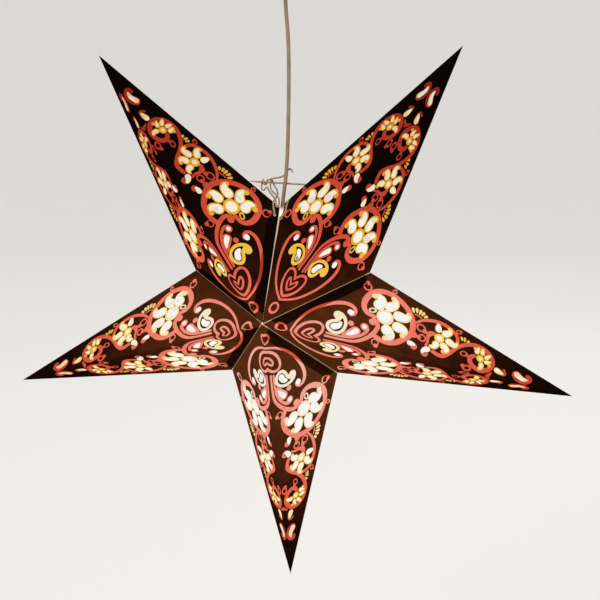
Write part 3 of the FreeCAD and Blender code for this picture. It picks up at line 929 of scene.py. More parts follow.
    def inset(self, spots: Array, depth: float) -> Array:
        """Move spots on the rim to where the face at a depth ends.

        At a fold the two faces meet on the plane halfway between them, so the shift is the depth
        times the tangent of half the fold's turn, inwards at the ridge and the outer fold and
        outwards at the seam. An open seam's edge stays where it is.

        Args:
            spots: Flat spots.
            depth: Mm below the printed face.

        Returns:
            The spots, moved.
        """
        half = math.radians(self.shape.step / 2)
        _, _, out = self.shape.axes()
        meets = (np.array([0, 0, 1.0]), np.array([0, -1.0, 0]),
                 -np.array([-math.sin(half), 0, math.cos(half)]))
        tilts = [out @ normal for normal in meets]
        shifts = [depth * tilt / math.sqrt(1 - tilt * tilt) for tilt in tilts]
        if self.seam.is_open:
            shifts[2] = 0.0
        way = self.ways()
        inward = np.stack([-way[:, 1], way[:, 0]], 1)
        on = self.on_lines(spots)
        moved = spots.copy()
        for i in range(3):
            only = on[:, i] & (on.sum(1) == 1)
            moved[only] += shifts[i] * inward[i]
        for i, j in ((0, 1), (1, 2), (2, 0)):
            both = on[:, i] & on[:, j]
            if both.any():
                corner = np.array([inward[i], inward[j]])
                moved[both] += np.linalg.solve(corner, np.array([shifts[i], shifts[j]]))
        return moved

    def surfaces(self) -> tuple[Flat, Flat, Array, Array]:
        """The printed face, the back, and the cut edges.

        Returns:
            The printed face; the back; and the edges to wall up, as pairs of flat spots on the
            printed face and the matching pairs on the back.
        """
        face = self.printed()
        rims = directed_rims(face.triangles)
        used, numbers = np.unique(rims, return_inverse=True)
        numbers = numbers.reshape(rims.shape)
        deep = self.inset(face.spots[used], self.shape.paper)
        spots, triangles = triangulate(deep, numbers)
        middle = spots[triangles].mean(1)
        keep = inside(middle, deep[numbers[:, 0]], deep[numbers[:, 1]])
        back = Flat(spots, triangles[keep], np.full(keep.sum(), int(Ink.INSIDE)), np.ones(keep.sum()))
        lines = self.on_lines(face.spots[rims].reshape(-1, 2)).reshape(len(rims), 2, 3)
        folded = lines[:, :, :2].all(1).any(1)
        return face, back, face.spots[rims[~folded]], deep[numbers[~folded]]


class Net:
    """Collects triangles from several parts of a piece and makes them one mesh."""

    def __init__(self) -> None:
        """Start with nothing."""
        self.corners: list[Array] = []
        self.inks: list[Array] = []
        self.layers: list[Array] = []

    def add(self, corners: Array, inks: Array, layers: Array, flip: bool) -> None:
        """Add triangles, turned over if flip.

        Args:
            corners: Three places in mm for each triangle.
            inks: Each triangle's material slot.
            layers: How many layers of paper lie at each triangle.
            flip: Whether they are turned over.
        """
        self.corners.append(corners[:, ::-1] if flip else corners)
        self.inks.append(inks)
        self.layers.append(layers)

    def add_plain(self, corners: Array, ink: int, layers: float, flip: bool) -> None:
        """Add triangles that all have one material slot and one count of layers."""
        self.add(corners, np.full(len(corners), int(ink)), np.full(len(corners), layers), flip)

    def mesh(self, name: str) -> bpy.types.Mesh:
        """Merge places that coincide and write the mesh, in metres.

        Args:
            name: The mesh's name.

        Returns:
            The mesh, with a material slot number on each face and an attribute that counts the layers.
        """
        corners = np.vstack(self.corners)
        steps = np.round(corners.reshape(-1, 3) * (1 / NEAR)).astype(np.int64)
        places, numbers = np.unique(steps, axis=0, return_inverse=True)
        numbers = numbers.reshape(-1, 3)
        whole = (numbers != np.roll(numbers, -1, axis=1)).all(1)
        mesh = bpy.data.meshes.new(name)
        mesh.from_pydata((places * NEAR * MM).tolist(), [], numbers[whole].tolist())
        mesh.polygons.foreach_set("material_index", np.concatenate(self.inks)[whole].astype(np.int32))
        mesh.attributes.new("layers", "FLOAT", "FACE").data.foreach_set(
            "value", np.concatenate(self.layers)[whole].astype(np.float32))
        mesh.update()
        return mesh


@dataclass(frozen=True)
class PaperPoints:
    """The five folded points of the star."""

    shape: StarShape = StarShape()
    ornament: Ornament = Ornament()
    glue: float = 0.02           # mm between a flap and the panel over it

    def seam_of(self, angle: float, side: int) -> Seam:
        """How a point's facets end on one side.

        Args:
            angle: Where the point points, in degrees.
            side: 1 for its counter-clockwise side, else -1.

        Returns:
            The kind of seam.
        """
        opens = math.isclose(angle + side * self.shape.step / 2, self.shape.open_seam)
        if opens:
            return Seam.OPEN_SLOT if side > 0 else Seam.OPEN_FLAP
        return Seam.LAP_OVER if side > 0 else Seam.LAP_UNDER

    def add_facet(self, net: Net, surfaces: tuple[Flat, Flat, Array, Array], station: Station) -> None:
        """Fold a facet's printed face and back, and wall up its cut edges.

        Args:
            net: The point's net.
            surfaces: The facet's face, back and edges in the flat.
            station: Which facet it is.
        """
        face, back, top, low = surfaces
        flip = station.side * station.front < 0
        outer = self.shape.fold(face.spots, 0.0, station)
        inner = self.shape.fold(back.spots, -self.shape.paper, station)
        net.add(outer[face.triangles], face.inks, face.layers, flip)
        net.add(inner[back.triangles], back.inks, back.layers, not flip)
        high = self.shape.fold(top.reshape(-1, 2), 0.0, station).reshape(-1, 2, 3)
        deep = self.shape.fold(low.reshape(-1, 2), -self.shape.paper, station).reshape(-1, 2, 3)
        one = np.stack([high[:, 1], high[:, 0], deep[:, 0]], 1)
        two = np.stack([high[:, 1], deep[:, 0], deep[:, 1]], 1)
        net.add_plain(np.vstack([one, two]), Ink.CORE, 1.0, flip)

    def add_flap(self, net: Net, facet: Facet, station: Station) -> None:
        """Add a glue flap, a thin plate under the facet's back.

        Args:
            net: The point's net.
            facet: The facet over the flap.
            station: Which facet it is.
        """
        paper = self.shape.paper
        strip = facet.flap_strip()
        top = self.shape.fold(strip, -paper - self.glue, station)
        low = self.shape.fold(strip, -2 * paper, station)
        next_top, next_low = np.roll(top, -1, axis=0), np.roll(low, -1, axis=0)
        corners = np.concatenate([
            top[np.array([[0, 1, 2], [0, 2, 3]])], low[np.array([[0, 2, 1], [0, 3, 2]])],
            np.stack([top, low, next_low], 1), np.stack([top, next_low, next_top], 1),
        ])
        one, two = strip[1] - strip[0], strip[2] - strip[0]
        clockwise = one[0] * two[1] < one[1] * two[0]
        net.add_plain(corners, Ink.INSIDE, 2.0, clockwise != (station.side * station.front < 0))

    def build(self, materials: Sequence[bpy.types.Material]) -> None:
        """Fold every point and put it in the scene in place of its CAD node.

        Args:
            materials: One for each Ink but the window.
        """
        facets = {seam: Facet(self.shape, self.ornament, seam) for seam in Seam}
        surfaces = {seam: facet.surfaces() for seam, facet in facets.items()}
        for node_name, angle in self.shape.points:
            net = Net()
            for side in (1, -1):
                seam = self.seam_of(angle, side)
                for front in (1, -1):
                    station = Station(side, front, angle)
                    self.add_facet(net, surfaces[seam], station)
                    if seam.has_flap:
                        self.add_flap(net, facets[seam], station)
            piece = new_object("printed_" + node_name, net.mesh("printed_" + node_name))
            for material in materials:
                piece.data.materials.append(material)
            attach(piece, "root")
            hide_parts(node_name)
            LOG.info("%s: %d triangles", piece.name, len(piece.data.polygons))


# --- finishes -----------------------------------------------------------------------------------


def feed(tree: Tree, target: bpy.types.Node, inputs: dict) -> None:
    """Link or set some of a node's inputs.

    Args:
        tree: The node's tree.
        target: The node.
        inputs: Socket number or name to an output socket to link, or a value.
    """
    for name, value in inputs.items():
        if isinstance(value, Socket):
            tree.links.new(value, target.inputs[name])
        else:
            target.inputs[name].default_value = value


def node(tree: Tree, kind: str, inputs: Optional[dict] = None, stops: Stops = (),
         **settings: object) -> bpy.types.Node:
    """Add a node with its settings, values and links.

    Args:
        tree: The tree to add it to.
        kind: The node's type, without "ShaderNode".
        inputs: Socket number or name to an output socket to link, or a value.
        stops: A colour ramp's positions and colours, in order.
        settings: The node's own settings.

    Returns:
        The node.
    """
    made = tree.nodes.new("ShaderNode" + kind)
    for name, value in settings.items():
        setattr(made, name, value)
    feed(tree, made, inputs or {})
    if stops:
        elements = made.color_ramp.elements
        while len(elements) < len(stops):
            elements.new(0.5)
        for element, (position, colour) in zip(elements, stops):
            element.position = position
            element.color = linear(colour)
    return made


def from_lamp(tree: Tree, place: Socket) -> tuple[Socket, Socket]:
    """The way from the lamp to a place, and its length as a share of 150 mm.

    Args:
        tree: The material's tree.
        place: The place.

    Returns:
        The way and the share.
    """
    lamp = tuple(float(x) for x in LAMP * MM)
    away = node(tree, "VectorMath", {0: place, 1: lamp}, operation="SUBTRACT").outputs[0]
    far = node(tree, "VectorMath", {0: away}, operation="LENGTH").outputs["Value"]
    return away, node(tree, "Math", {0: far, 1: 150 * MM}, operation="DIVIDE").outputs[0]


@dataclass(frozen=True)
class Finish:
    """A material on the principled shader. Each kind says what the shader's inputs are."""

    name: str

    def inputs(self, tree: Tree, place: Socket) -> dict:
        """The shader's inputs: sockets to link, and values.

        Args:
            tree: The material's tree.
            place: The place on the piece.

        Returns:
            Socket name to a socket or a value.
        """
        raise NotImplementedError

    def make(self) -> bpy.types.Material:
        """Build the material.

        Returns:
            The material.
        """
        material = bpy.data.materials.new(self.name)
        material.use_nodes = True
        tree = material.node_tree
        place = node(tree, "TexCoord").outputs["Object"]
        feed(tree, tree.nodes["Principled BSDF"], self.inputs(tree, place))
        return material


@dataclass(frozen=True)
class LitPaper(Finish):
    """Offset-printed paper with lamplight coming through it.

    The paper is about 300 g a square metre. Its clouds of denser fibre, 4 to 14 mm across, show
    in the light that comes through. The print is matt, with next to no shine.
    """

    print_colour: str            # what it looks like in room light
    glow: Stops                  # share of the brightest light, and the colour that comes through
    roughness: float = 0.42
    gloss: float = 0.35
    layer_loss: float = 0.70     # what a second layer takes away
    holder_shade: float = 0.55   # how much dimmer it is right above the holder
    cloud: float = 0.10          # how much the clouds change the light
    cloud_size: float = 4.5      # mm
    ink_wear: float = 0.06       # how much specks change the print's colour
    least_slant: float = 0.55
    speck: float = 0.9           # mm: finer in life, and drawn as coarse as it needs to show
    wave: float = 38.0           # mm across a soft buckle of the sheet

    def light(self, tree: Tree, place: Socket) -> Socket:
        """How much light reaches the back of the paper, from 0 to 1.

        It is one over one plus the distance from the lamp, as a share of 150 mm, to the power
        2.8, times the root of the lamp's height over the paper's plane, as a share of 60 mm.
        The lamp holder takes some of it away upwards, and so does a second layer.

        Args:
            tree: The material's tree.
            place: The place on the paper.

        Returns:
            The share of the brightest light.
        """
        away, share = from_lamp(tree, place)
        power = node(tree, "Math", {0: share, 1: 2.8}, operation="POWER").outputs[0]
        whole = node(tree, "Math", {0: power, 1: 1.0}, operation="ADD").outputs[0]
        level = node(tree, "Math", {0: 1.0, 1: whole}, operation="DIVIDE").outputs[0]
        outward = node(tree, "NewGeometry").outputs["True Normal"]
        over = node(tree, "VectorMath", {0: away, 1: outward}, operation="DOT_PRODUCT").outputs["Value"]
        size = node(tree, "Math", {0: over}, operation="ABSOLUTE").outputs[0]
        rise = node(tree, "Math", {0: size, 1: 60 * MM}, operation="DIVIDE").outputs[0]
        root = node(tree, "Math", {0: rise, 1: 0.5}, operation="POWER").outputs[0]
        slant = node(tree, "Clamp", {0: root, 1: self.least_slant, 2: 1.0}).outputs[0]
        direction = node(tree, "VectorMath", {0: away}, operation="NORMALIZE").outputs[0]
        height = node(tree, "SeparateXYZ", {0: direction}).outputs["Z"]
        shade = node(tree, "MapRange", {0: height, 1: 0.15, 2: 0.85, 3: 1.0, 4: 1.0 - self.holder_shade},
                     interpolation_type="SMOOTHSTEP").outputs[0]
        layers = node(tree, "Attribute", attribute_name="layers").outputs["Fac"]
        second = node(tree, "MapRange", {
            0: layers, 1: 1.0, 2: 2.0, 3: 1.0, 4: 1.0 - self.layer_loss,
        }).outputs[0]
        clouds = node(tree, "TexNoise", {
            "Vector": place, "Scale": 1 / (self.cloud_size * MM), "Detail": 4.0, "Roughness": 0.6,
        }).outputs[0]
        cloud = node(tree, "MapRange", {
            0: clouds, 1: 0.3, 2: 0.7, 3: 1.0 - self.cloud, 4: 1.0 + self.cloud,
        }).outputs[0]
        for factor in (slant, shade, second, cloud):
            level = node(tree, "Math", {0: level, 1: factor}, operation="MULTIPLY").outputs[0]
        return level

    def inputs(self, tree: Tree, place: Socket) -> dict:
        """Print that wears in specks, fibres and soft buckles, and the light that comes through.

        Args:
            tree: The material's tree.
            place: The place on the piece.

        Returns:
            Socket name to a socket or a value.
        """
        lit = node(tree, "ValToRGB", {0: self.light(tree, place)}, self.glow).outputs["Color"]
        specks = node(tree, "TexNoise", {
            "Vector": place, "Scale": 1 / (self.speck * MM), "Detail": 3.0,
        }).outputs[0]
        wear = node(tree, "MapRange", {
            0: specks, 1: 0.35, 2: 0.75, 3: 1.0 - self.ink_wear, 4: 1.0 + self.ink_wear,
        }).outputs[0]
        base = {0: linear(self.print_colour)[:3], "Scale": wear}
        rough = {0: specks, 1: 0.3, 2: 0.7, 3: self.roughness - 0.05, 4: self.roughness + 0.07}
        waves = node(tree, "TexNoise", {
            "Vector": place, "Scale": 1 / (self.wave * MM), "Detail": 1.0,
        }).outputs[0]
        soft = node(tree, "Bump", {"Height": waves, "Strength": 0.25, "Distance": 2.0 * MM}).outputs[0]
        fibre = {"Height": specks, "Strength": 0.12, "Distance": 0.1 * MM, "Normal": soft}
        return {
            "Base Color": node(tree, "VectorMath", base, operation="SCALE").outputs[0],
            "Roughness": node(tree, "MapRange", rough).outputs[0],
            "Normal": node(tree, "Bump", fibre).outputs[0],
            "Specular IOR Level": self.gloss,
            "Emission Color": lit,
            "Emission Strength": 1.0,
        }


PAPERS = (
    LitPaper("offset_print_dark_brown", "#080403",
             ((0.0, "#040201"), (0.06, "#080302"), (0.126, "#0d0401"), (0.2, "#180803"), (0.31, "#2a1104"),
              (0.43, "#3b1a09"), (0.55, "#47200b"), (0.87, "#542a11")),
             0.55, 0.0, cloud=0.26, cloud_size=14.0, holder_shade=0.66),
    LitPaper("offset_print_red", "#2c0906",
             ((0.0, "#200604"), (0.03, "#56160f"), (0.075, "#982c1c"), (0.12, "#b03a24"), (0.2, "#c44830"),
              (0.31, "#da5c44"), (0.43, "#e86a54"), (0.55, "#ee7a64"), (0.757, "#f29482"), (0.87, "#f2ae9e")),
             0.55, 0.01),
    LitPaper("offset_print_yellow", "#3a280a",
             ((0.0, "#32200a"), (0.03, "#a8742c"), (0.06, "#cc963c"), (0.126, "#d49630"), (0.2, "#dca030"),
              (0.31, "#eabc3c"), (0.43, "#f0ca64"), (0.55, "#f4d994"), (0.65, "#f6dfa8"), (0.757, "#f4e4c8"),
              (0.87, "#eee6d6")),
             0.55, 0.02),
    LitPaper("unprinted_paper_margin", "#6c5c4c",
             ((0.0, "#201610"), (0.1, "#4a3a2e"), (0.4, "#ac947c"), (0.8, "#ccb69e")), 0.6, 0.05,
             holder_shade=0.15),
    LitPaper("white_paper_back", "#c4c4c2",
             ((0.0, "#7c4c28"), (0.05, "#98703e"), (0.12, "#ac8a54"), (0.25, "#b2a68c"), (0.5, "#aeb0b4")),
             0.7, 0.0, 0.2, 0.35, 0.04, least_slant=0.8),
    LitPaper("cut_paper_edge", "#a89a88",
             ((0.0, "#806040"), (0.12, "#d0b088"), (0.3, "#f0dcc0"), (0.6, "#fff4e6")),
             0.8, 0.05, 0.0, 0.3, 0.05, least_slant=0.9),
)


@dataclass(frozen=True)
class Plastic(Finish):
    """Injection-moulded plastic with a fine spark-eroded grain and slight flow shading."""

    colour: str
    roughness: float = 0.45
    grain: float = 0.35          # mm
    depth: float = 0.02          # mm
    glow: Stops = ()             # lamplight on it by distance, as shares of 150 mm

    def inputs(self, tree: Tree, place: Socket) -> dict:
        """Flow shading over 14 mm, a fine grain, and the lamplight if there is any.

        Args:
            tree: The material's tree.
            place: The place on the piece.

        Returns:
            Socket name to a socket or a value.
        """
        flow = node(tree, "TexNoise", {"Vector": place, "Scale": 1 / (14 * MM), "Detail": 2.0}).outputs[0]
        shade = node(tree, "MapRange", {0: flow, 1: 0.3, 2: 0.7, 3: 0.94, 4: 1.03}).outputs[0]
        base = {0: linear(self.colour)[:3], "Scale": shade}
        grain = node(tree, "TexNoise", {
            "Vector": place, "Scale": 1 / (self.grain * MM), "Detail": 2.0,
        }).outputs[0]
        rough = {0: grain, 1: 0.3, 2: 0.7, 3: self.roughness - 0.06, 4: self.roughness + 0.06}
        pits = {"Height": grain, "Strength": 0.35, "Distance": self.depth * MM}
        made = {
            "Base Color": node(tree, "VectorMath", base, operation="SCALE").outputs[0],
            "Roughness": node(tree, "MapRange", rough).outputs[0],
            "Normal": node(tree, "Bump", pits).outputs[0],
            "IOR": 1.5,
        }
        if self.glow:
            _, share = from_lamp(tree, place)
            made["Emission Color"] = node(tree, "ValToRGB", {0: share}, self.glow).outputs["Color"]
            made["Emission Strength"] = 1.0
        return made


@dataclass(frozen=True)
class OpalGlass(Finish):
    """Glass with an opal coating inside, lit by the filament behind it."""

    name: str = "opal_coated_glass"
    glow: Stops = ((0.0, "#fff6e4"), (0.45, "#fffaf0"), (0.8, "#ffe9c4"), (1.0, "#f0c890"))

    def inputs(self, tree: Tree, place: Socket) -> dict:
        """A glow that dims from the globe's bottom to its neck, through a faintly uneven coating.

        Args:
            tree: The material's tree.
            place: The place on the piece.

        Returns:
            Socket name to a socket or a value.
        """
        away, _ = from_lamp(tree, place)
        up = node(tree, "SeparateXYZ", {0: away}).outputs["Z"]
        level = node(tree, "MapRange", {0: up, 1: -22.5 * MM, 2: 32 * MM}).outputs[0]
        dust = node(tree, "TexNoise", {"Vector": place, "Scale": 1 / (6 * MM), "Detail": 3.0}).outputs[0]
        shade = node(tree, "MapRange", {0: dust, 1: 0.3, 2: 0.7, 3: 0.96, 4: 1.03}).outputs[0]
        colour = node(tree, "ValToRGB", {0: level}, self.glow).outputs["Color"]
        lit = node(tree, "VectorMath", {0: colour, "Scale": shade}, operation="SCALE").outputs[0]
        return {"Base Color": linear("#f6f2ea"), "Roughness": 0.12, "IOR": 1.52,
                "Emission Color": lit, "Emission Strength": 1.6}


@dataclass(frozen=True)
class NickelledBrass(Finish):
    """Drawn brass with a thin nickel plate, lightly scuffed round its threads."""

    name: str = "nickel_plated_brass"
    colours: Stops = ((0.35, "#c9c4b6"), (0.7, "#b8a987"))    # nickel, and brass where it is scuffed

    def inputs(self, tree: Tree, place: Socket) -> dict:
        """Scuffs of 1.5 mm, which are rougher and show some brass.

        Args:
            tree: The material's tree.
            place: The place on the piece.

        Returns:
            Socket name to a socket or a value.
        """
        scuff = node(tree, "TexNoise", {"Vector": place, "Scale": 1 / (1.5 * MM), "Detail": 4.0}).outputs[0]
        return {
            "Base Color": node(tree, "ValToRGB", {0: scuff}, self.colours).outputs["Color"],
            "Roughness": node(tree, "MapRange", {0: scuff, 1: 0.3, 2: 0.7, 3: 0.22, 4: 0.42}).outputs[0],
            "Metallic": 1.0,
        }


@dataclass(frozen=True)
class Sheath(Finish):
    """Soft PVC cable sheath: matt, with faint draw lines and dull patches from handling."""

    name: str = "pvc_cable_sheath"
    colours: Stops = ((0.3, "#987b66"), (0.65, "#ac8f7a"))    # dull patches, and the rest
    inside: str = "#f6e6c4"      # where it hangs inside the star, in the lamplight
    notch: float = -257.0        # mm, the height of the opening it goes in through

    def inputs(self, tree: Tree, place: Socket) -> dict:
        """Draw lines 0.5 mm apart along it, patches of 18 mm, and lamplight below the notch.

        Args:
            tree: The material's tree.
            place: The place on the piece.

        Returns:
            Socket name to a socket or a value.
        """
        drawn = node(tree, "Mapping", {"Vector": place, "Scale": (1.0, 1.0, 0.06)}).outputs[0]
        lines = node(tree, "TexNoise", {"Vector": drawn, "Scale": 1 / (0.5 * MM), "Detail": 3.0}).outputs[0]
        patch = node(tree, "TexNoise", {"Vector": place, "Scale": 1 / (18 * MM), "Detail": 3.0}).outputs[0]
        grooves = {"Height": lines, "Strength": 0.25, "Distance": 0.06 * MM}
        height = node(tree, "SeparateXYZ", {0: place}).outputs["Z"]
        below = {0: height, 1: (self.notch + 1) * MM, 2: (self.notch - 4) * MM}
        return {
            "Base Color": node(tree, "ValToRGB", {0: patch}, self.colours).outputs["Color"],
            "Roughness": node(tree, "MapRange", {0: patch, 1: 0.3, 2: 0.7, 3: 0.55, 4: 0.42}).outputs[0],
            "Normal": node(tree, "Bump", grooves).outputs[0],
            "Emission Color": linear(self.inside),
            "Emission Strength": node(tree, "MapRange", below).outputs[0],
        }


@dataclass(frozen=True)
class Twine(Finish):
    """Twisted natural twine: dry, fuzzy fibres that vary in tone, darkest in their hollows as painted shade.
    """

    name: str = "twisted_cotton_twine"
    # the dark stop falls where the fibre noise is low, which is also where the bump sinks: painted shade
    # between the fibres
    colours: Stops = ((0.3, "#8a6e56"), (0.6, "#c2a688"))     # between the fibres, and on them

    def inputs(self, tree: Tree, place: Socket) -> dict:
        """Fibres of 0.35 mm, drawn coarser than life to show, and a soft sheen of fuzz.

        Args:
            tree: The material's tree.
            place: The place on the piece.

        Returns:
            Socket name to a socket or a value.
        """
        fibre = node(tree, "TexNoise", {
            "Vector": place, "Scale": 1 / (0.35 * MM), "Detail": 4.0, "Roughness": 0.7,
        }).outputs[0]
        fuzz = {"Height": fibre, "Strength": 0.6, "Distance": 0.1 * MM}
        return {
            "Base Color": node(tree, "ValToRGB", {0: fibre}, self.colours).outputs["Color"],
            "Normal": node(tree, "Bump", fuzz).outputs[0],
            "Roughness": 0.9, "Sheen Weight": 0.3, "Sheen Roughness": 0.5,
        }


@dataclass(frozen=True)
class Birch(Finish):
    """Planed birch with fine grain along the stick."""

    name: str = "birch_toothpick"
    colours: Stops = ((0.3, "#96785a"), (0.5, "#b99876"), (0.7, "#cdb08e"))      # dark grain to light

    def inputs(self, tree: Tree, place: Socket) -> dict:
        """Grain 0.4 mm wide and twelve times as long.

        Args:
            tree: The material's tree.
            place: The place on the piece.

        Returns:
            Socket name to a socket or a value.
        """
        drawn = node(tree, "Mapping", {"Vector": place, "Scale": (0.08, 1.0, 1.0)}).outputs[0]
        grain = node(tree, "TexNoise", {
            "Vector": drawn, "Scale": 1 / (0.4 * MM), "Detail": 4.0, "Distortion": 0.4,
        }).outputs[0]
        pores = {"Height": grain, "Strength": 0.3, "Distance": 0.05 * MM}
        return {
            "Base Color": node(tree, "ValToRGB", {0: grain}, self.colours).outputs["Color"],
            "Normal": node(tree, "Bump", pores).outputs[0],
            "Roughness": 0.6,
        }


@dataclass(frozen=True)
class PalePaint(Finish):
    """Matt pale paint. What the camera and mirrors see of it is lifted a little."""

    name: str = "matt_pale_paint"
    lift: float = 0.6

    def inputs(self, tree: Tree, place: Socket) -> dict:
        """One colour, and a lift for rays that are seen and don't light anything.

        Args:
            tree: The material's tree.
            place: The place on the piece. Not used.

        Returns:
            Socket name to a socket or a value.
        """
        ray = node(tree, "LightPath").outputs
        seen = {0: ray["Is Camera Ray"], 1: ray["Is Glossy Ray"]}
        seen_or_mirrored = node(tree, "Math", seen, operation="MAXIMUM").outputs[0]
        shown = {0: seen_or_mirrored, 1: ray["Is Transmission Ray"]}
        lifted = {0: node(tree, "Math", shown, operation="MAXIMUM").outputs[0], 1: self.lift}
        return {
            "Base Color": linear("#a6a4a0"), "Roughness": 0.9, "Emission Color": linear("#f2f0ec"),
            "Emission Strength": node(tree, "Math", lifted, operation="MULTIPLY").outputs[0],
        }


# --- surfaces -----------------------------------------------------------------------------------


def grid_corners(grid: Array) -> Array:
    """Split a grid of places into triangles: two for each cell.

    Args:
        grid: Places in rows and columns.

    Returns:
        Three places for each triangle.
    """
    a, b, c, d = grid[:-1, :-1], grid[1:, :-1], grid[1:, 1:], grid[:-1, 1:]
    halves = (np.stack([a, b, c], 2), np.stack([a, c, d], 2))
    return np.concatenate([half.reshape(-1, 3, 3) for half in halves])


def plain_mesh(name: str, corners: Array, flip: bool = False) -> bpy.types.Mesh:
    """A smooth mesh of one material, from its triangles' corners in mm, turned over if flip.

    Args:
        name: The mesh's name.
        corners: Three places in mm for each triangle.
        flip: Whether the triangles are turned over.

    Returns:
        The mesh.
    """
    net = Net()
    net.add_plain(corners, 0, 1.0, flip)
    mesh = net.mesh(name)
    mesh.shade_smooth()
    return mesh


def solid_piece(name: str, corners: Array, sharp: float = 35.0) -> Piece:
    """Make a closed surface a piece, with its faces outwards.

    The sign of the volume, a sixth of the sum of each triangle's triple product, says whether
    the faces point outwards. If they don't, they are turned over.

    Args:
        name: The piece's name.
        corners: Three places in mm for each triangle.
        sharp: The angle in degrees from which an edge looks sharp.

    Returns:
        The piece.
    """
    centred = corners - corners.reshape(-1, 3).mean(0)
    volume = np.einsum("ij,ij->i", centred[:, 0], np.cross(centred[:, 1], centred[:, 2])).sum()
    mesh = plain_mesh(name, corners, volume < 0)
    mesh.set_sharp_from_angle(angle=math.radians(sharp))
    return new_object(name, mesh)


def turned_surface(profile: Array, axis: Sequence[float], count: int = 64,
                   bulge: Optional[Callable[[Array, Array], Array]] = None) -> Array:
    """A surface of revolution about a vertical axis.

    At a turn and a row of the profile the place is the axis plus the radius towards the turn,
    at the row's height. bulge adds to the radius by turn and height.

    Args:
        profile: Rows of radius and height in mm.
        axis: The axis in X and Y.
        count: Facets round it.
        bulge: Mm to add to the radius, from arrays of turn and height.

    Returns:
        The triangles' corners.
    """
    turn = np.append(np.linspace(0, 2 * math.pi, count, endpoint=False), 0.0)[None]
    radius, height = profile[:, :1], profile[:, 1:]
    if bulge is not None:
        radius = radius + bulge(turn, height)
    grid = np.stack(np.broadcast_arrays(axis[0] + radius * np.cos(turn), axis[1] + radius * np.sin(turn),
                                        height + 0 * turn), -1)
    return grid_corners(grid)


def arc(centre: Sequence[float], radius: float, start: float, end: float, count: int) -> Array:
    """Rows of a circular arc, from one angle to another in degrees."""
    angle = np.radians(np.linspace(start, end, count))[:, None]
    return np.asarray(centre) + radius * np.hstack([np.cos(angle), np.sin(angle)])


@dataclass(frozen=True)
class Lamp:
    """The bulb with its opal globe and screw cap, and the holder that it hangs in."""

    axis: tuple = (-10.3, 0.0)
    globe_radius: float = 22.5
    globe_height: float = -386.0
    neck_angle: float = 48.0     # degrees above the globe's middle, where the neck starts
    neck_bend: tuple = (-4.6, 5.2)       # from there to the corner that the neck's curve rounds
    cap_radius: float = 13.0
    cap_foot: float = -353.0
    top: float = -329.0
    pip: float = 4.5             # radius of the contact's foot
    pitch: float = 3.6           # mm a turn, the usual lamp thread
    swing: float = 0.5           # how far the thread swings about its middle
    waist: float = 0.45          # how far inside the cap's radius that middle is
    # painted lamplight on the holder: emission that brightens nearer the globe
    glow: Stops = ((0.2, "#d8c8b4"), (0.4, "#a8947c"), (0.7, "#7c6a58"), (1.0, "#54463a"))    # on the holder

    def globe(self) -> Array:
        """The glass: most of a sphere, and a neck along a parabola that starts and ends on its tangents.

        Returns:
            The triangles' corners.
        """
        sphere = arc((0, self.globe_height), self.globe_radius, -90, self.neck_angle, 40)
        start, end = sphere[-1], np.array([self.cap_radius - 0.2, self.cap_foot + 0.8])
        t = np.linspace(0, 1, 12)[1:, None]
        bend = start + np.array(self.neck_bend)
        neck = (1 - t) ** 2 * start + 2 * t * (1 - t) * bend + t ** 2 * end
        close = np.array([[0.0, end[1]]])
        return turned_surface(np.vstack([sphere, neck, close]), self.axis, 96)

    def thread(self, turn: Array, height: Array) -> Array:
        """Rolled round threads: the radius swings with height less the turn's share of the pitch.

        Args:
            turn: Angles round the cap.
            height: Heights in mm.

        Returns:
            Mm to add to the radius.
        """
        phase = 2 * math.pi * height / self.pitch - turn
        fade = np.clip((height - self.cap_foot - 3) / 2, 0, 1) * np.clip((self.top - 6 - height) / 2, 0, 1)
        return fade * (self.swing * np.sin(phase) - self.waist)

    def cap(self) -> Array:
        """The metal shell with its thread, the insulator's cone and the pip contact, all in the shell's
        finish; on a real cap the insulator is black.

        Returns:
            The triangles' corners.
        """
        shell = np.stack([np.full(70, self.cap_radius), np.linspace(self.cap_foot, self.top - 4, 70)], 1)
        cone = np.array([[self.cap_radius, self.top - 4.0], [self.pip, self.top - 1.0],
                         [self.pip, self.top - 0.4], [self.pip - 0.6, self.top], [0.0, self.top]])
        foot = np.array([[0.0, self.cap_foot], [self.cap_radius - 0.4, self.cap_foot]])
        return turned_surface(np.vstack([foot, shell, cone]), self.axis, 72, self.thread)

    def build(self, nodes: dict[str, Piece]) -> None:
        """Make the bulb's two pieces and dress the holder.

        Args:
            nodes: The CAD nodes by name.
        """
        glass = solid_piece("bulb_globe", self.globe())
        glass.data.materials.append(OpalGlass().make())
        shell = solid_piece("bulb_screw_cap", self.cap())
        shell.data.materials.append(NickelledBrass().make())
        for piece in (glass, shell):
            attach(piece, "root")
            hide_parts("bulb")
            LOG.info("%s: %d triangles", piece.name, len(piece.data.polygons))
        holder = Plastic("thermoset_lamp_holder", "#3a2f2a", 0.35, 0.5, 0.02, self.glow).make()
        for name in ("holder_body", "holder_cap"):
            dress(nodes[name], holder)


def dress(piece: Piece, material: bpy.types.Material) -> None:
    """Give a CAD node this material in every slot.

    Args:
        piece: The CAD node's object.
        material: The material.
    """
    piece.data.materials.clear()
    piece.data.materials.append(material)
    LOG.info("%s: %s", piece.name, material.name)


def nurbs(name: str, route: Places, fine: int) -> Piece:
    """A smooth line whose control points are a route's points.

    Args:
        name: Its name.
        route: The points in mm from the star's centre.
        fine: Steps from one control point to the next.

    Returns:
        The line.
    """
    curve = bpy.data.curves.new(name, "CURVE")
    curve.dimensions = "3D"
    spline = curve.splines.new("NURBS")
    spline.points.add(len(route) - 1)
    places = (np.asarray(route, float) + STAR_CENTRE) * MM
    spline.points.foreach_set("co", np.insert(places, 3, 1.0, axis=1).ravel())
    spline.order_u = 3
    spline.use_endpoint_u = True
    spline.resolution_u = fine
    return new_object(name, curve)


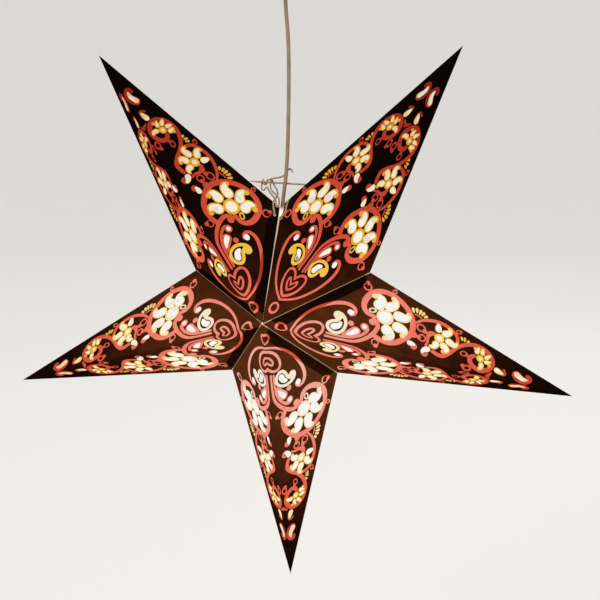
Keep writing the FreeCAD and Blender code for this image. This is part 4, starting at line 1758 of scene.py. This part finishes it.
@dataclass(frozen=True)
class LampCord:
    """The round lamp cord, from the rose's grip down to the holder."""

    diameter: float = 4.0
    route: tuple = (
        (11.5, 0, 336), (11.5, 0, 304), (14.6, 0, 262), (9.9, 0, 146), (2.9, 0, 103.5), (1.2, 0, 82),
        (1.2, 0, 40),
    )

    def build(self) -> None:
        """Make the cord."""
        cord = nurbs("lamp_cord_sheath", self.route, 24)
        cord.data.bevel_depth = self.diameter / 2 * MM
        cord.data.bevel_resolution = 8
        cord.data.use_fill_caps = True
        cord.data.materials.append(Sheath().make())
        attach(cord, "root")
        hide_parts("lamp_cord")
        LOG.info("%s: %d control points", cord.name, len(self.route))


@dataclass(frozen=True)
class Tie:
    """The twine that laces the top seam and is wound round the toothpick."""

    diameter: float = 1.8
    lay: float = 5.2             # mm of twine in a full twist
    lobes: int = 3               # one for each strand
    lobe_height: float = 0.1     # as a share of the twine's radius
    route: tuple = (
        (14.2, 2.4, 135.2), (12.8, 3.2, 139.2), (8.8, 4.2, 138.0), (6.4, 4.0, 133.6),
        (2.4, 3.4, 130.2), (-5.5, 1.8, 129.4), (-12.3, 0.8, 127.6), (-13.4, 5.4, 127.4),
        (-14.6, 5.4, 122.6), (-15.8, 0.8, 122.6), (-16.9, 0.8, 127.8), (-18.1, 5.4, 127.8),
        (-19.4, 5.2, 122.4), (-19.6, 0.8, 118.4), (-16.2, -0.6, 116.6), (-12.8, -0.4, 121.4),
        (-11.2, -0.8, 116.4), (-7.2, -1.2, 111.6), (-3.6, -2.0, 107.0), (-3.2, -4.2, 99.8),
        (0.0, -5.0, 100.6), (0.2, -3.2, 107.2), (-1.8, -1.4, 111.6), (-6.2, -0.2, 114.4),
        (-9.6, 0.6, 118.4), (-9.4, 0.6, 127.0), (-7.8, 5.5, 126.8), (-6.6, 5.4, 122.0),
        (-4.0, 2.4, 119.0), (-1.8, 1.8, 114.0), (-3.4, 1.2, 109.4), (-6.6, -1.4, 105.4),
        (-5.6, -6.2, 101.0), (-4.4, -9.8, 96.8), (-3.0, -12.0, 94.2), (-5.0, -9.0, 91.0),
        (0.0, -8.4, 86.2), (5.0, -12.6, 87.6), (2.8, -15.4, 90.2), (5.4, -15.8, 91.6),
        (8.0, -12.6, 95.6), (8.6, -8.6, 99.8), (8.6, -4.8, 103.6), (10.5, -3.0, 107.4),
    )

    def section(self) -> Piece:
        """The twine's cross-section: a circle whose radius swings once for each strand.

        Returns:
            The section, as a curve.
        """
        turn = np.linspace(0, 2 * math.pi, 8 * self.lobes, endpoint=False)
        radius = self.diameter / 2 * MM * (1.0 + self.lobe_height * np.cos(self.lobes * turn))
        curve = bpy.data.curves.new("twine_section", "CURVE")
        curve.dimensions = "2D"
        spline = curve.splines.new("POLY")
        spline.points.add(len(turn) - 1)
        flat = np.stack([radius * np.cos(turn), radius * np.sin(turn), 0 * turn, 1 + 0 * turn], 1)
        spline.points.foreach_set("co", flat.ravel())
        spline.use_cyclic_u = True
        return new_object("twine_section", curve)

    def twisted(self, name: str, route: Places) -> tuple[Piece, Array]:
        """A length of twine along a route.

        The section turns as it goes, one full turn for each lay length.

        Args:
            name: The piece's name.
            route: Its control points in mm from the star's centre.

        Returns:
            The piece, and the places that its middle line runs through in metres.
        """
        line = nurbs(name + "_line", route, 16)
        plain = bpy.data.meshes.new_from_object(line.evaluated_get(bpy.context.evaluated_depsgraph_get()))
        middle = np.zeros(len(plain.vertices) * 3)
        plain.vertices.foreach_get("co", middle)
        tilts = distances(np.array(route)) * 2 * math.pi / self.lay
        line.data.splines[0].points.foreach_set("tilt", tilts)
        section = self.section()
        line.data.bevel_mode = "OBJECT"
        line.data.bevel_object = section
        line.data.use_fill_caps = True
        bpy.context.view_layer.update()
        mesh = bpy.data.meshes.new_from_object(line.evaluated_get(bpy.context.evaluated_depsgraph_get()))
        mesh.shade_smooth()
        piece = new_object(name, mesh)
        for spare in (line, section):
            bpy.data.objects.remove(spare)
        return piece, middle.reshape(-1, 3)

    def build(self, nodes: dict[str, Piece]) -> None:
        """Make the twine and dress the toothpick.

        Args:
            nodes: The CAD nodes by name.
        """
        finish = Twine().make()
        piece, middle = self.twisted("tie_twine", self.route)
        piece.data.materials.clear()
        piece.data.materials.append(finish)
        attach(piece, "root")
        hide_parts("tie_string")
        LOG.info("%s: %d faces", piece.name, len(piece.data.polygons))
        dress(nodes["toothpick"], Birch().make())


@dataclass(frozen=True)
class CeilingRose:
    """The small moulded rose that the lamp cord hangs from."""

    def build(self, nodes: dict[str, Piece]) -> None:
        """Dress its mouldings.

        Args:
            nodes: The CAD nodes by name.
        """
        shell = Plastic("glossy_abs", "#eceae4", 0.28, 0.6, 0.01).make()
        for name in ("rose_base", "rose_cover", "rose_grip"):
            dress(nodes[name], shell)
        dress(nodes["rose_terminal"], Plastic("natural_polyamide", "#d9d8cf", 0.5, 0.4, 0.02).make())


# --- studio -------------------------------------------------------------------------------------


@dataclass(frozen=True)
class Studio:
    """The camera, the soft lamps, and a pale floor that curves up all round."""

    eye: tuple = (201.4, -1072.9, -104.5)        # mm
    forward: tuple = (-0.1733, 0.9588, -0.2251)
    up: tuple = (-0.0152, 0.2259, 0.974)
    lens: float = 63.0
    floor_height: float = -1.05                  # this and the next three sizes in metres
    floor_radius: float = 5.0
    floor_bend: float = 3.0
    wall_top: float = 4.0
    surround: float = 0.6

    def camera(self) -> None:
        """Place the camera by its own axes."""
        data = bpy.data.cameras.new("camera")
        data.lens = self.lens
        data.sensor_width = 36.0
        data.clip_end = 60.0
        camera = new_object("camera", data)
        forward = unit(self.forward)
        up = unit(np.asarray(self.up) - forward * (forward @ np.asarray(self.up)))
        right = np.cross(forward, up)
        turn = Matrix(np.stack([right, up, -forward], 1).tolist()).to_4x4()
        camera.matrix_world = Matrix.Translation(Vector(self.eye) * MM) @ turn
        bpy.context.scene.camera = camera

    def lamp(self, name: str, place: Sequence[float], size: float, power: float, colour: str) -> None:
        """A soft square lamp that looks at the lantern.

        Args:
            name: Its name.
            place: Its middle, in metres.
            size: Its side, in metres.
            power: Its power in watts.
            colour: Its light, as an sRGB hex colour.
        """
        data = bpy.data.lights.new(name, "AREA")
        data.shape = "SQUARE"
        data.size = size
        data.energy = power
        data.color = linear(colour)[:3]
        lamp = new_object(name, data)
        lamp.location = place
        target = Vector(STAR_CENTRE * MM) - lamp.location
        lamp.rotation_euler = target.to_track_quat("-Z", "Y").to_euler()

    def floor(self) -> None:
        """A wide pale floor that curves up into a low wall far outside every view."""
        flat = np.array([[0.0, 0.0], [1.0, 0.0], [2.5, 0.0], [self.floor_radius, 0.0]])
        rise = arc((self.floor_radius, self.floor_bend), self.floor_bend, -90, 0, 24)[1:]
        wall = np.array([[self.floor_radius + self.floor_bend, self.wall_top]])
        profile = np.vstack([flat, rise, wall]) + [0.0, self.floor_height]
        floor = new_object("floor", plain_mesh("floor", turned_surface(profile / MM, (0.0, 0.0), 96)))
        floor.data.materials.append(PalePaint().make())

    def world(self) -> None:
        """An even pale surround."""
        world = bpy.data.worlds.new("surround")
        bpy.context.scene.world = world
        world.use_nodes = True
        background = world.node_tree.nodes["Background"]
        background.inputs["Color"].default_value = linear("#f4f2ee")
        background.inputs["Strength"].default_value = self.surround

    def build(self) -> None:
        """Set up everything that isn't the lantern."""
        self.camera()
        self.floor()
        self.world()
        self.lamp("key", (-1.6, -2.2, 1.6), 1.8, 60.0, "#fffaf4")
        self.lamp("fill", (2.4, -1.4, 0.6), 2.2, 26.0, "#f4f8ff")
        self.lamp("back", (0.6, 2.2, 1.4), 1.8, 24.0, "#ffffff")
        bpy.context.scene.view_settings.view_transform = "Standard"


def main() -> None:
    """Load the frame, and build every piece."""
    logging.basicConfig(level=logging.INFO, format="%(name)s %(message)s")
    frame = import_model()
    nodes = frame["nodes"]
    Studio().build()
    LampCord().build()
    Tie().build(nodes)
    PaperPoints().build([finish.make() for finish in PAPERS])
    Lamp().build(nodes)
    CeilingRose().build(nodes)


if __name__ == "__main__":
    main()
